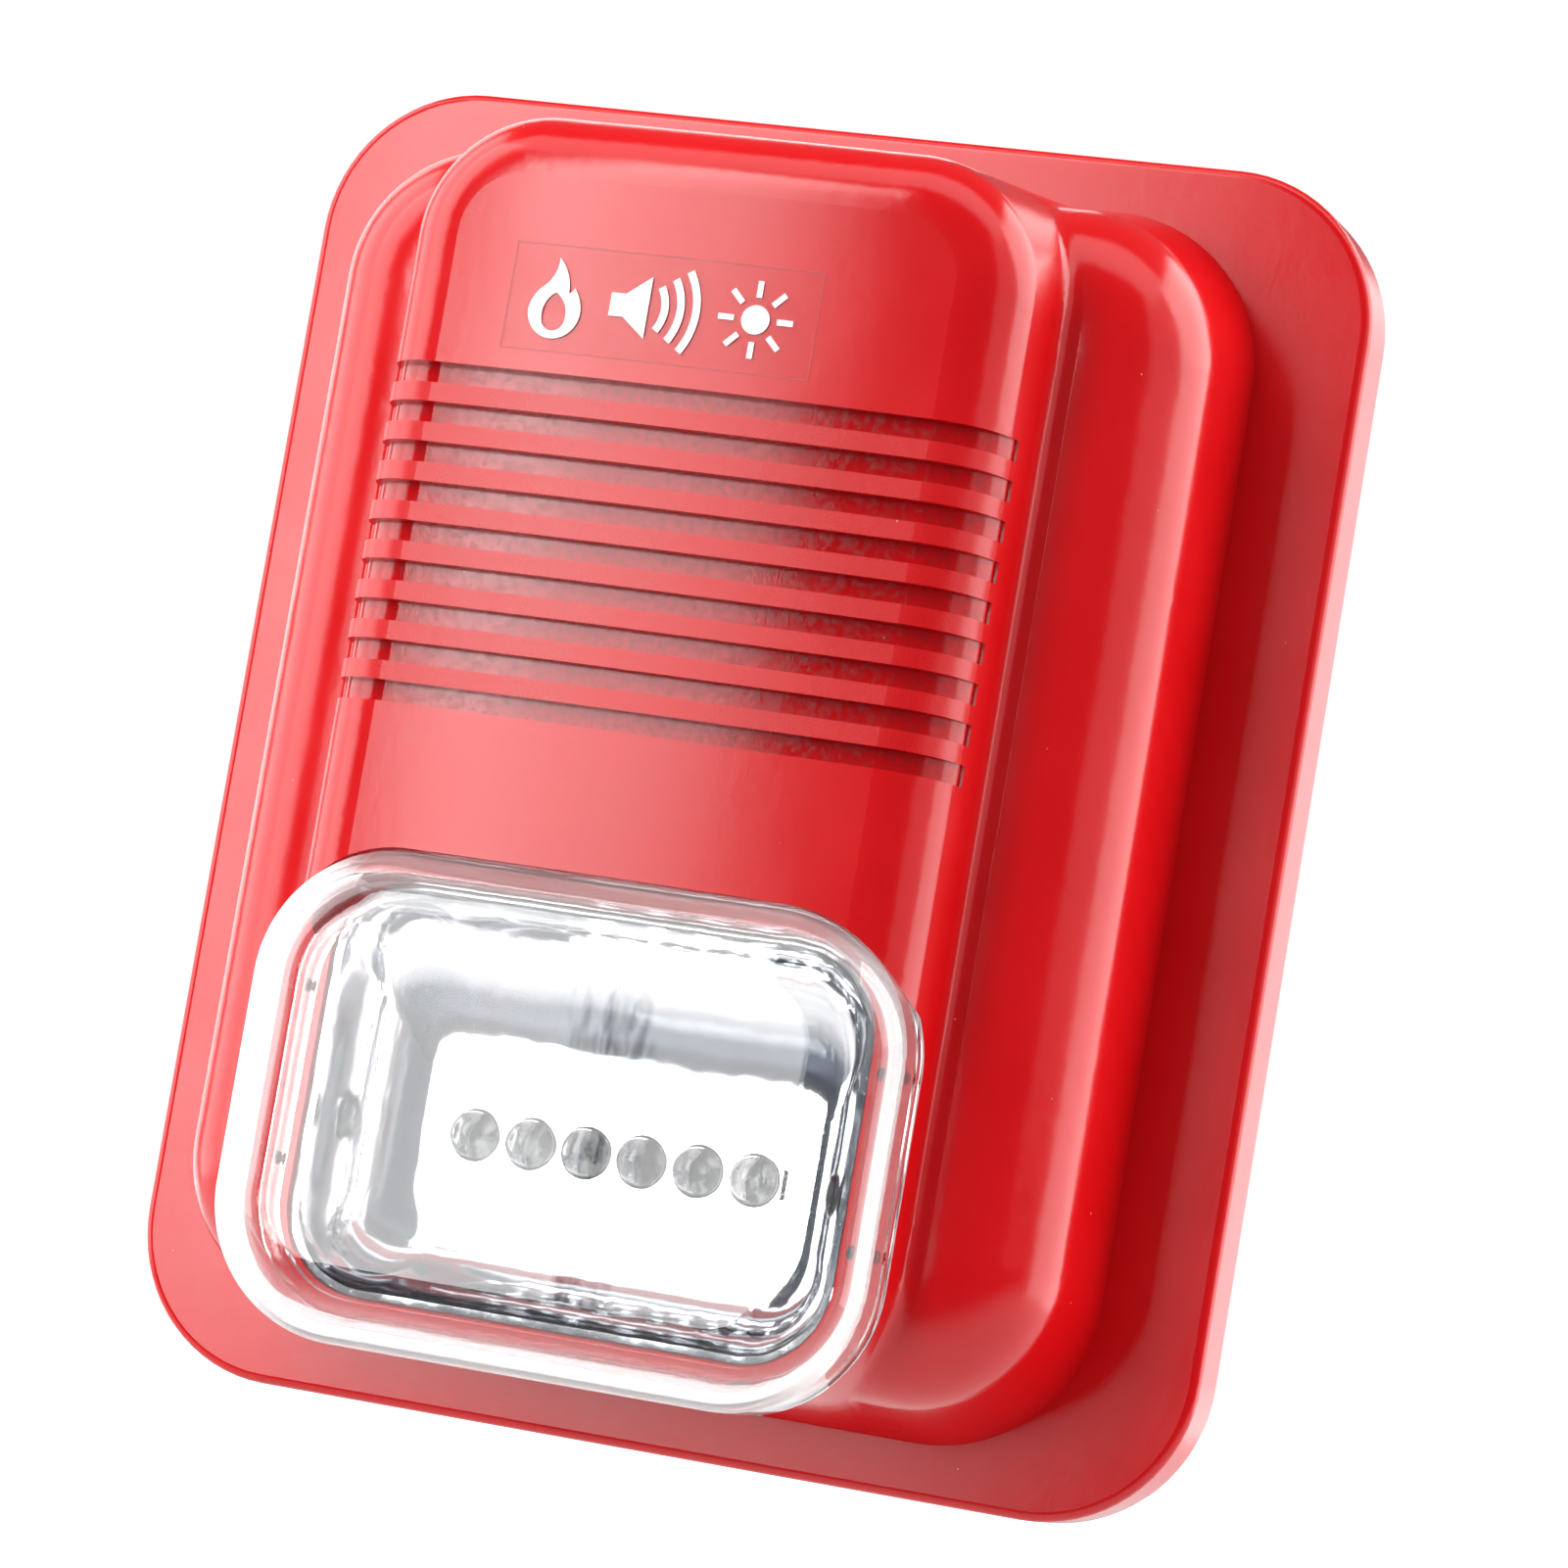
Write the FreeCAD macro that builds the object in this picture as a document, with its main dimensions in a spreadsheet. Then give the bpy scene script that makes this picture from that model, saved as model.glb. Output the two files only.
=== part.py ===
import FreeCAD, Part
import math
import os
import re
import Sketcher
from FreeCAD import Placement, Rotation, Vector

# Wall horn strobe: a base plate that screws to a wall box, a pull-off front cover with a ribbed
# sounder front, and a clear flash lens over a chromed dish.
# Frame: X to the right, Z up, the wall is the plane y = 0 and the front faces -Y. The origin is
# the centre of the base plate's back face. "Height" below always means distance from the wall,
# so a point at height 10 has y = -10.

DOC = FreeCAD.newDocument("HornStrobe")
SHEET = DOC.addObject("Spreadsheet::Sheet", "Sizes")

# Alias, value in millimetres (or a count, or degrees), what it is.
DIMENSIONS = [
    ("plate_width", 120, "base plate, side to side"),
    ("plate_tall", 143.6, "base plate, top to bottom"),
    ("plate_corner", 16.8, "base plate corner radius"),
    ("plate_thick", 7.3, "base plate front face above the wall"),
    ("plate_wall", 2.2, "base plate skin"),
    ("plate_edge", 1.0, "base plate front edge radius"),
    ("floor_thick", 2.4, "floor of the base plate's well"),
    ("dome_width", 97, "front cover outline at the base plate"),
    ("dome_tall", 131.7, "front cover outline at the base plate"),
    ("dome_corner", 17.3, "front cover outline corner radius"),
    ("cover_wall", 2.5, "front cover wall"),
    ("tier_top", 33, "height of the lower tier"),
    ("tier_side_lean", 0.4, "how far each side of the tier leans in"),
    ("tier_end_lean", 5.25, "how far each end of the tier leans in"),
    ("tier_corner", 15, "tier corner radius at its top"),
    ("tier_round", 11.5, "tier shoulder radius"),
    ("ridge_foot_width", 80.4, "ridge width carried down to the base plate"),
    ("ridge_foot_corner", 17, "ridge corner radius carried down to the base plate"),
    ("ridge_top", 47.4, "height of the ridge"),
    ("ridge_width", 64.5, "ridge width at its top"),
    ("ridge_tall", 124.7, "ridge length at its top"),
    ("ridge_corner", 13.2, "ridge corner radius at its top"),
    ("ridge_round", 7.4, "ridge front edge radius"),
    ("ridge_roof", 3.4, "wall behind the ridge's front face"),
    ("crown_radius", 312, "sideways curve of the ridge's front face"),
    ("foot_round", 2, "fillet where the ridge meets the tier"),
    ("groove_count", 9, "sounder grooves"),
    ("groove_pitch", 4.16, "groove to groove"),
    ("groove_tall", 2.2, "groove opening"),
    ("groove_deep", 1.7, "groove depth, straight towards the wall"),
    ("groove_first", 35.24, "top edge of the first groove"),
    ("groove_half", 34.6, "groove cutter end from the middle"),
    ("groove_foot", 38.6, "lowest height that a groove reaches, where its ends run out"),
    ("lens_width", 70, "lens, side to side"),
    ("lens_tall", 50.6, "lens, top to bottom"),
    ("lens_middle", -40.3, "lens centre"),
    ("lens_corner", 14.5, "lens corner radius"),
    ("lens_foot", 38.75, "lens rim height"),
    ("lens_front", 52.6, "lens front height"),
    ("lens_wall", 2, "lens wall"),
    ("lens_round", 8, "lens front edge radius"),
    ("skirt_foot", 27, "lower edge of the lens skirt"),
    ("skirt_width", 41, "lens skirt, side to side"),
    ("rim_width", 4.2, "lens rim, in from the outline"),
    ("rim_thick", 1.2, "lens rim"),
    ("stake_radius", 0.7, "lens locating stakes"),
    ("stake_side", 31.7, "stake from the middle"),
    ("stake_apart", 18, "stake to stake"),
    ("seat_level", 38.6, "height of the lens seat"),
    ("seat_gap", 0.15, "gap round the lens"),
    ("ledge_thick", 2.2, "lens seat"),
    ("dish_width", 57.8, "reflector mouth"),
    ("dish_tall", 42.4, "reflector mouth"),
    ("dish_middle", -38.8, "reflector mouth centre"),
    ("dish_corner", 8.5, "reflector mouth corner radius"),
    ("dish_rim", 38, "height of the reflector mouth"),
    ("dish_floor", 26.5, "height of the reflector floor"),
    ("dish_floor_width", 42, "flat part of the reflector floor"),
    ("dish_floor_tall", 17, "flat part of the reflector floor"),
    ("dish_floor_corner", 4, "flat part of the reflector floor"),
    ("dish_skin", 1.2, "reflector wall at its floor"),
    ("dish_rim_wall", 0.8, "reflector wall at its mouth"),
    ("dish_gap", 0.3, "gap round the reflector's mouth"),
    ("flange_width", 62, "reflector flange"),
    ("flange_tall", 36, "reflector flange"),
    ("flange_top", -9.3, "top edge of the reflector flange"),
    ("ear_side", 22, "reflector screw from the middle"),
    ("ear_level", -12.5, "reflector screw, up from the middle"),
    ("ear_radius", 3, "reflector screw boss"),
    ("lamp_count", 6, "light-emitting diodes"),
    ("lamp_pitch", 6.2, "lamp to lamp"),
    ("lamp_level", -42, "lamp row, up from the middle"),
    ("lamp_radius", 2.5, "lamp body"),
    ("lamp_flange", 2.9, "lamp flange radius"),
    ("lamp_flange_thick", 1, "lamp flange"),
    ("lamp_tall", 8.6, "lamp above its board"),
    ("lamp_hole", 2.8, "reflector hole round a lamp"),
    ("lead_size", 0.5, "square lamp leads"),
    ("lead_proud", 1.5, "leads past the back of a board"),
    ("lead_apart", 2.54, "the two leads of a lamp"),
    ("lead_hole", 0.45, "board hole round a lead"),
    ("lamp_board_width", 58, "lamp board"),
    ("lamp_board_tall", 24, "lamp board"),
    ("lamp_board_back", 19.3, "height of the lamp board's back"),
    ("lamp_post_side", 25.5, "lamp board screw from the middle"),
    ("lamp_post_up", 8.5, "lamp board screw from the lamp row"),
    ("board_thick", 1.6, "both circuit boards"),
    ("board_corner", 2, "both circuit boards"),
    ("board_width", 60, "main board"),
    ("board_tall", 53, "main board"),
    ("board_middle", 31.5, "main board centre"),
    ("board_back", 8.4, "height of the main board's back"),
    ("board_post_side", 26.5, "main board screw from the middle"),
    ("board_post_up", 23, "main board screw from the board's centre"),
    ("post_radius", 3, "board posts"),
    ("pilot_radius", 1.1, "hole for a board screw's shank"),
    ("pilot_deep", 6, "hole for a board screw's shank"),
    ("screw_radius", 1.05, "board screw shank"),
    ("screw_head", 2.3, "board screw head radius"),
    ("screw_head_thick", 1.7, "board screw head"),
    ("screw_long", 6.5, "board screw under its head"),
    ("board_hole", 1.3, "board hole round a screw"),
    ("well_side_gap", 0.2, "gap round the cover's tongue"),
    ("tongue_wider", 1, "tongue outline past the cavity"),
    ("tongue_thick", 1.4, "tongue wall"),
    ("tongue_deep", 3.9, "tongue below the cover's foot"),
    ("peg_radius", 2, "locating pegs"),
    ("peg_side", 40, "peg from the middle"),
    ("peg_up", 46, "peg from the middle"),
    ("peg_top", 16, "height of a peg's tip"),
    ("peg_gap", 0.05, "gap round a peg"),
    ("socket_radius", 3.65, "cover post round a peg"),
    ("socket_top", 18, "height of a socket's blind end"),
    ("cable_width", 34, "cable window"),
    ("cable_tall", 17, "cable window"),
    ("cable_middle", -5.5, "cable window centre"),
    ("cable_corner", 4, "cable window"),
    ("grommet_wall", 1.4, "cable grommet"),
    ("grommet_lip", 1.2, "grommet lip past the window"),
    ("box_pitch", 60.3, "wall box screw slots"),
    ("box_slot_radius", 2.2, "wall box screw slots"),
    ("box_slot_long", 8, "wall box screw slots, end to end"),
    ("wall_hole_side", 36, "wall screw from the middle"),
    ("wall_hole_up", 54, "wall screw from the middle"),
    ("wall_hole_radius", 2.25, "wall screw hole"),
    ("rib_thick", 1.4, "stiffening ribs behind the flange"),
    ("lock_height", 4.4, "height of the lock screw"),
    ("lock_radius", 1.25, "lock screw"),
    ("lock_gap", 0.05, "gap round the lock screw"),
    ("lock_inset", 0.5, "lock screw's outer end below the plate's edge"),
    ("lock_boss", 8, "block that the lock screw runs in"),
    ("hex_radius", 0.75, "hexagon socket, middle to corner"),
    ("hex_deep", 1.5, "hexagon socket"),
    ("cup_radius", 22, "sounder cup"),
    ("cup_middle", 18, "sounder centre"),
    ("cup_wall", 2, "sounder cup"),
    ("cup_back", 24, "height of the sounder cup's back"),
    ("cup_floor", 1.6, "sounder cup floor"),
    ("cup_seat", 32.6, "height of the diaphragm's seat"),
    ("cup_seat_radius", 17.5, "bore under the diaphragm"),
    ("cup_front", 37, "height of the sounder cup's rim"),
    ("cup_foot_reach", 17.5, "sounder foot from the sounder's middle"),
    ("cup_foot_radius", 2.6, "sounder feet"),
    ("cap_front", 39.4, "height of the sounder cap's front"),
    ("cap_hole", 1.6, "sound holes"),
    ("cap_hole_reach", 8.5, "ring of sound holes"),
    ("cap_hole_count", 8, "sound holes in the ring"),
    ("brass_radius", 18.8, "diaphragm"),
    ("brass_thick", 0.3, "diaphragm"),
    ("ceramic_radius", 12.5, "piezo disc"),
    ("diaphragm_gap", 0.4, "room in front of and behind the diaphragm"),
    ("seal_radius", 19, "foam ring, outside"),
    ("seal_hole", 15.5, "foam ring, inside"),
    ("seal_front", 43.2, "height of the foam ring's front"),
    ("terminal_level", -22, "terminal block, up from the middle"),
    ("terminal_width", 15, "terminal block"),
    ("terminal_tall", 10, "terminal block"),
    ("terminal_front", 14.4, "height of the terminal block's front"),
    ("pole_side", 3.75, "terminal from the middle"),
    ("cage_width", 4.9, "wire clamp"),
    ("cage_tall", 5, "wire clamp"),
    ("cage_deep", 6, "wire clamp"),
    ("cage_back", 3.9, "height of an open clamp's back"),
    ("cage_wall", 0.8, "wire clamp"),
    ("cage_room", 0.15, "gap round a clamp"),
    ("clamp_travel", 1.2, "wire clamp travel"),
    ("terminal_screw_radius", 1.45, "terminal screw shank"),
    ("terminal_screw_head", 2.15, "terminal screw head"),
    ("terminal_head_back", 11.9, "height of a terminal screw head's underside"),
    ("terminal_head_thick", 1.9, "terminal screw head"),
    ("bar_width", 2.8, "contact bar"),
    ("bar_thick", 0.8, "contact bar"),
    ("bar_back", 7.3, "height of a contact bar's back"),
    ("bar_bottom", -28.6, "solder end of a contact bar"),
    ("wire_radius", 0.65, "internal wires"),
    ("wire_gap", 0.02, "wire ends above their solder points"),
    ("fence_gap", 0.1, "gap round the terminal block"),
    ("fence_wall", 1.2, "fence round the terminal block"),
    ("fence_tall", 2, "fence round the terminal block"),
    ("rib_count", 4, "ribs behind each long side of the flange"),
    ("rib_pitch", 34.5, "rib to rib"),
    ("pin_radius", 0.3, "component leads"),
    ("pin_reach", 2, "upright lead past a lying part's end, or from an upright part's middle"),
    ("bent_radius", 0.35, "lying stretch of a lead"),
    ("bend_spare", 0.15, "lying stretch past the upright one"),
    ("axial_pitch", 4, "resistor to resistor, and diode to diode"),
    ("resistor_count", 4, "resistors"),
    ("resistor_side", -26, "first resistor from the middle"),
    ("resistor_level", 27, "resistors, up from the middle"),
    ("resistor_half", 3.2, "half a resistor's body"),
    ("resistor_radius", 1.15, "resistor body"),
    ("diode_count", 2, "diodes"),
    ("diode_side", 14, "first diode from the middle"),
    ("diode_level", 25, "diodes, up from the middle"),
    ("diode_half", 2.6, "half a diode's body"),
    ("diode_radius", 1.35, "diode body"),
    ("capacitor_side", 18, "storage capacitor from the middle"),
    ("capacitor_level", 49, "storage capacitor, up from the middle"),
    ("capacitor_radius", 5, "storage capacitor"),
    ("capacitor_tall", 16, "storage capacitor above its board"),
    ("crimp_level", 2.6, "middle of the capacitor's crimp above the board"),
    ("crimp_deep", 0.4, "capacitor's crimp, and half its height"),
    ("can_round", 0.6, "capacitor's top edge radius"),
    ("can_sunk", 0.2, "capacitor's end face below its rim"),
    ("coil_side", -1, "coil from the middle"),
    ("coil_level", 50, "coil, up from the middle"),
    ("coil_flange", 5, "coil core flange radius"),
    ("coil_flange_thick", 1.2, "coil core flange"),
    ("coil_neck", 2.2, "coil core inside its winding"),
    ("coil_tall", 9, "coil core above its board"),
    ("winding_radius", 4.4, "copper winding"),
    ("transistor_side", -14, "power transistor from the middle"),
    ("transistor_level", 50, "power transistor, up from the middle"),
    ("transistor_half", 1.9, "half the transistor's width"),
    ("transistor_back", 1.5, "transistor's flat face behind its legs"),
    ("transistor_cheek", 0.6, "transistor's straight side in front of its legs"),
    ("transistor_bulge", 2, "radius of the transistor's round face"),
    ("transistor_lift", 2.5, "transistor above its board"),
    ("transistor_tall", 4.8, "transistor body"),
    ("leg_pitch", 1.27, "transistor leg to leg, and chip foot to foot"),
    ("chip_level", 27, "controller chip, up from the middle"),
    ("chip_width", 8.7, "controller chip body"),
    ("chip_tall", 3.9, "controller chip body"),
    ("chip_thick", 1.5, "controller chip body"),
    ("chip_lift", 0.2, "chip body above its board"),
    ("chip_feet", 7, "feet along each side of the chip"),
    ("foot_width", 0.4, "chip foot"),
    ("feet_tall", 6, "chip feet, tip to tip"),
    ("shoulder_tall", 4.9, "chip feet where they bend down"),
    ("shoulder_thick", 0.5, "height of a foot's bend"),
    ("selector_side", 25.6, "selector from the middle"),
    ("selector_level", 31, "selector, up from the middle"),
    ("selector_width", 6.6, "selector body"),
    ("selector_tall", 7, "selector body"),
    ("selector_thick", 3.2, "selector body"),
    ("lever_size", 1.3, "selector lever"),
    ("lever_travel", 1.2, "selector lever travel"),
    ("lever_apart", 2.54, "lever to lever"),
    ("lever_proud", 0.7, "selector lever in front of its body"),
    ("lever_room", 0.08, "gap round a lever"),
    ("film_left", -20, "label's left edge"),
    ("film_right", 13.7, "label's right edge"),
    ("film_top", 48.5, "label's top edge"),
    ("film_bottom", 37.4, "label's bottom edge"),
    ("film_thick", 0.12, "label film"),
    ("film_lift", 0.01, "gap behind the film and behind the print"),
    ("print_thick", 0.05, "printed mark"),
]

ALIASES = {alias for alias, value, meaning in DIMENSIONS}
SUBPARTS = []


def fill_sheet():
    """Write the driving dimensions, one a row: meaning, value, alias on the value."""
    for row, (alias, value, meaning) in enumerate(DIMENSIONS, start=1):
        SHEET.set(f"A{row}", meaning)
        SHEET.set(f"B{row}", str(value))
        SHEET.setAlias(f"B{row}", alias)
    DOC.recompute()


def formula(text):
    """Point every sheet name in a formula at the sheet."""
    return re.sub(r"[a-z_]+", lambda word: sheet_name(word.group()), str(text))


def sheet_name(word):
    return f"Sizes.{word}" if word in ALIASES else word


def number(text):
    """The present value of a formula of sheet names."""
    return float(SHEET.evalExpression(formula(text)))


def bind(thing, target, text):
    thing.setExpression(target, formula(text))


# ---- sketches ------------------------------------------------------------------------------

def new_body(name):
    body = DOC.addObject("PartDesign::Body", name)
    body.Label = name
    body.AllowCompound = True
    return body


def base_plane(body, role):
    return next(part for part in body.Origin.OriginFeatures if part.Role == role)


def new_sketch(body, plane, offset=0, across=0, along=0):
    """A sketch on one of the body's own planes, moved by bound distances in its own axes."""
    sketch = body.newObject("Sketcher::SketchObject", f"{body.Name}_sketch")
    sketch.AttachmentSupport = [(base_plane(body, plane), "")]
    sketch.MapMode = "FlatFace"
    bind(sketch, "AttachmentOffset.Base.x", across)
    bind(sketch, "AttachmentOffset.Base.y", along)
    bind(sketch, "AttachmentOffset.Base.z", offset)
    return sketch


def front_sketch(body, height):
    """A sketch facing the front at a height above the wall: x is X and y is Z."""
    return new_sketch(body, "XZ_Plane", height)


def bind_size(sketch, kind, text, *places):
    """Add one bound dimension; its name is its kind and number."""
    index = sketch.addConstraint(Sketcher.Constraint(kind, *places, number(text)))
    name = f"{kind}_{index}"
    sketch.renameConstraint(index, name)
    bind(sketch, f"Constraints.{name}", text)


def bind_point(sketch, geometry, end, across, along):
    bind_size(sketch, "DistanceX", across, -1, 1, geometry, end)
    bind_size(sketch, "DistanceY", along, -1, 1, geometry, end)


def arc_between(start, end, radius, turn):
    """The short arc between two points; turn is 1 for anticlockwise and -1 for clockwise."""
    chord = end.sub(start)
    normal = Vector(-chord.y, chord.x, 0).normalize()
    rise = math.sqrt(max(radius**2 - (chord.Length / 2) ** 2, 0))
    centre = start.add(end).multiply(0.5).add(normal.multiply(rise * turn))
    first, last = (start, end) if turn > 0 else (end, start)
    angles = [math.atan2(point.y - centre.y, point.x - centre.x) for point in (first, last)]
    circle = Part.Circle(centre, Vector(0, 0, 1), radius)
    return Part.ArcOfCircle(circle, angles[0], angles[1])


def draw(sketch, steps):
    """Close an outline. A step (x, y) is a line to that point and (x, y, radius, turn) an arc."""
    points = [Vector(number(step[0]), number(step[1]), 0) for step in steps]
    drawn = []
    for index, step in enumerate(steps):
        start, end = points[index - 1], points[index]
        if len(step) == 2:
            geometry = sketch.addGeometry(Part.LineSegment(start, end), False)
            drawn.append((geometry, 1, 2))
            continue
        arc = arc_between(start, end, number(step[2]), step[3])
        geometry = sketch.addGeometry(arc, False)
        drawn.append((geometry, 1, 2) if step[3] > 0 else (geometry, 2, 1))
    for index, step in enumerate(steps):
        geometry, begin, finish = drawn[index]
        before = drawn[index - 1]
        sketch.addConstraint(Sketcher.Constraint("Coincident", before[0], before[2], geometry, begin))
        bind_point(sketch, geometry, finish, step[0], step[1])
        if len(step) == 4:
            bind_size(sketch, "Radius", step[2], geometry)
    return sketch


def draw_box(sketch, width, tall, across=0, along=0, corner=None):
    """A rectangle, with rounded corners if a corner radius is given."""
    left, right = f"({across})-({width})/2", f"({across})+({width})/2"
    low, high = f"({along})-({tall})/2", f"({along})+({tall})/2"
    if corner is None:
        return draw(sketch, [(left, low), (right, low), (right, high), (left, high)])
    inner_left, inner_right = f"{left}+({corner})", f"{right}-({corner})"
    inner_low, inner_high = f"{low}+({corner})", f"{high}-({corner})"
    return draw(sketch, [
        (inner_right, low),
        (right, inner_low, corner, 1),
        (right, inner_high),
        (inner_right, high, corner, 1),
        (inner_left, high),
        (left, inner_high, corner, 1),
        (left, inner_low),
        (inner_left, low, corner, 1),
    ])


def draw_circle(sketch, radius, across=0, along=0):
    centre = Vector(number(across), number(along), 0)
    circle = Part.Circle(centre, Vector(0, 0, 1), number(radius))
    geometry = sketch.addGeometry(circle, False)
    bind_point(sketch, geometry, 3, across, along)
    bind_size(sketch, "Radius", radius, geometry)
    return sketch


def four_ways(side, up):
    """The four mirrored places of a point."""
    return [(f"{x}({side})", f"{z}({up})") for x in ("-", "") for z in ("-", "")]


# ---- features ------------------------------------------------------------------------------

def add_feature(body, kind, sketch, **settings):
    feature = body.newObject(f"PartDesign::{kind}", f"{body.Name}_{kind.lower()}")
    feature.Profile = sketch
    for name, setting in settings.items():
        setattr(feature, name, setting)
    return feature


def pad(body, sketch, length, reverse=False):
    """Material from the sketch towards the front (or towards the wall if reversed)."""
    feature = add_feature(body, "Pad", sketch, Reversed=reverse)
    bind(feature, "Length", length)
    DOC.recompute()
    return feature


def cut(body, sketch, length, forward=False, both=False):
    """Remove material behind the sketch, or in front of it, or on both sides."""
    before = body.Shape.Volume
    feature = add_feature(body, "Pocket", sketch, Reversed=forward, Midplane=both)
    bind(feature, "Length", length)
    DOC.recompute()
    if not body.Shape.Volume < before - 1e-6:
        raise ValueError(f"{feature.Name} cut nothing")
    return feature


def loft(body, sketches, kind="AdditiveLoft", ruled=True):
    feature = add_feature(body, kind, sketches[0], Ruled=ruled)
    feature.Sections = sketches[1:]
    DOC.recompute()
    return feature


def fillet(body, radius, choose):
    """Round the edges of the body's last feature that the test picks."""
    base = body.Tip
    names = [f"Edge{i}" for i, edge in enumerate(base.Shape.Edges, start=1) if choose(edge)]
    feature = body.newObject("PartDesign::Fillet", f"{body.Name}_fillet")
    feature.Base = (base, names)
    bind(feature, "Radius", radius)
    DOC.recompute()
    return feature


def combine(body, tool, kind):
    """Cut, Fuse or Common of a whole body with another one."""
    feature = body.newObject("PartDesign::Boolean", f"{body.Name}_boolean")
    feature.Type = kind
    feature.setObjects([tool])
    DOC.recompute()
    return feature


def turn(body, steps, across=0, along=0):
    """Revolve an outline of (height, radius) steps round a line that faces the front."""
    sketch = new_sketch(body, "YZ_Plane", across, 0, along)
    draw(sketch, [(f"-({step[0]})",) + tuple(step[1:]) for step in steps])
    return revolve(body, sketch, "H_Axis")


def turn_upright(body, steps, across, height, middle):
    """Revolve an outline of (radius, rise) steps round an upright line."""
    sketch = new_sketch(body, "YZ_Plane", across, f"-({height})", middle)
    return revolve(body, draw(sketch, steps), "V_Axis")


def revolve(body, sketch, axis):
    feature = add_feature(body, "Revolution", sketch, Angle=360)
    feature.ReferenceAxis = (sketch, [axis])
    DOC.recompute()
    return feature


def repeat_along(body, features, role, length, count, reverse=False):
    """Repeat features in a row along one of the body's axes."""
    pattern = body.newObject("PartDesign::LinearPattern", f"{body.Name}_row")
    pattern.Originals = features
    pattern.Direction = (base_plane(body, role), [""])
    pattern.Reversed = reverse
    bind(pattern, "Length", length)
    bind(pattern, "Occurrences", count)
    body.Tip = pattern
    DOC.recompute()
    return pattern


def keep(thing):
    """Note a finished sub-part."""
    SUBPARTS.append(thing)
    return thing


# ---- shared outlines -----------------------------------------------------------------------

def lies_at(edge, height):
    box = edge.BoundBox
    return abs(-box.YMin - height) < 1e-3 and abs(-box.YMax - height) < 1e-3


def dome_outline(sketch, inset=0):
    """The cover's outline at the base plate, or a copy inset on every side."""
    return draw_box(sketch, f"dome_width-2*({inset})", f"dome_tall-2*({inset})", 0, 0,
                    f"dome_corner-({inset})")


def lens_outline(sketch, grow=0):
    return draw_box(sketch, f"lens_width+2*({grow})", f"lens_tall+2*({grow})", 0, "lens_middle",
                    f"lens_corner+({grow})")


TONGUE_INSET = "cover_wall-tongue_wider/2"
WELL_INSET = "cover_wall-tongue_wider/2-well_side_gap"


def tier_solid(body, inset):
    """The lower tier: a leaning rounded block with a large shoulder radius."""
    foot = dome_outline(front_sketch(body, "plate_thick"), inset)
    top = draw_box(
        front_sketch(body, f"tier_top-({inset})"),
        f"dome_width-2*tier_side_lean-2*({inset})",
        f"dome_tall-2*tier_end_lean-2*({inset})",
        0, 0, f"tier_corner-({inset})",
    )
    loft(body, [foot, top])
    level = number(f"tier_top-({inset})")
    fillet(body, f"tier_round-({inset})", lambda edge: lies_at(edge, level))


def ridge_solid(body, inset, roof, sink=0):
    """The ridge: a leaning rounded block with a crowned front and rounded front edges."""
    reach = 10
    foot = draw_box(
        front_sketch(body, f"plate_thick-({sink})"),
        f"ridge_foot_width-2*({inset})", f"dome_tall-2*({inset})",
        0, 0, f"ridge_foot_corner-({inset})",
    )
    top = draw_box(
        front_sketch(body, f"ridge_top-({sink})"),
        f"ridge_width-2*({inset})", f"ridge_tall-2*({inset})",
        0, 0, f"ridge_corner-({inset})",
    )
    loft(body, [foot, top])
    half = f"(ridge_width/2+{reach})"
    sag = f"(crown_radius-sqrt(crown_radius*crown_radius-{half}*{half}))"
    edge_height = f"(ridge_top-({sink})-({roof})-{sag})"
    profile = draw(new_sketch(body, "XY_Plane"), [
        (half, f"-(ridge_top+{reach})"),
        (f"-{half}", f"-(ridge_top+{reach})"),
        (f"-{half}", f"-{edge_height}"),
        (half, f"-{edge_height}", "crown_radius", 1),
    ])
    cut(body, profile, "2*plate_tall", both=True)
    lowest = number(edge_height) - 1
    fillet(body, f"ridge_round-({roof})", lambda edge: -edge.BoundBox.YMax > lowest)


# ---- housing -------------------------------------------------------------------------------

def base_plate():
    body = new_body("base_plate")
    back, face = front_sketch(body, 0), front_sketch(body, "plate_thick")
    pad(body, draw_box(back, "plate_width", "plate_tall", 0, 0, "plate_corner"), "plate_thick")
    rim = number("plate_thick")
    fillet(body, "plate_edge", lambda edge: lies_at(edge, rim))
    cut(body, dome_outline(face, WELL_INSET), "plate_thick-floor_thick")
    channel = front_sketch(body, 0)
    draw_box(channel, "plate_width-2*plate_wall", "plate_tall-2*plate_wall", 0, 0,
             "plate_corner-plate_wall")
    dome_outline(channel, f"{WELL_INSET}-plate_wall")
    cut(body, channel, "plate_thick-plate_wall", forward=True)
    ribs = front_sketch(body, "rib_thick/2")
    reach = "plate_width/2-dome_width/2-plate_wall/2"
    for index in range(int(number("rib_count"))):
        up = f"rib_pitch*({index}-(rib_count-1)/2)"
        for side in ("-", ""):
            draw_box(ribs, reach, "rib_thick", f"{side}(plate_width/2+dome_width/2)/2", up)
    pad(body, ribs, "plate_thick-rib_thick")
    boss = front_sketch(body, 0)
    boss_tall = "plate_tall/2-dome_tall/2"
    draw_box(boss, "lock_boss", f"{boss_tall}-plate_wall/2", 0, f"-(plate_tall/2-{boss_tall}/2)")
    pad(body, boss, "plate_thick-plate_wall/2")
    lock = new_sketch(body, "XY_Plane", "-plate_tall/2-1")
    draw_circle(lock, "lock_radius+lock_gap", 0, "-lock_height")
    cut(body, lock, "plate_tall/2-dome_tall/2+5", forward=True)
    add_base_posts(body)
    cut_base_openings(body)
    return keep(body)


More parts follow.
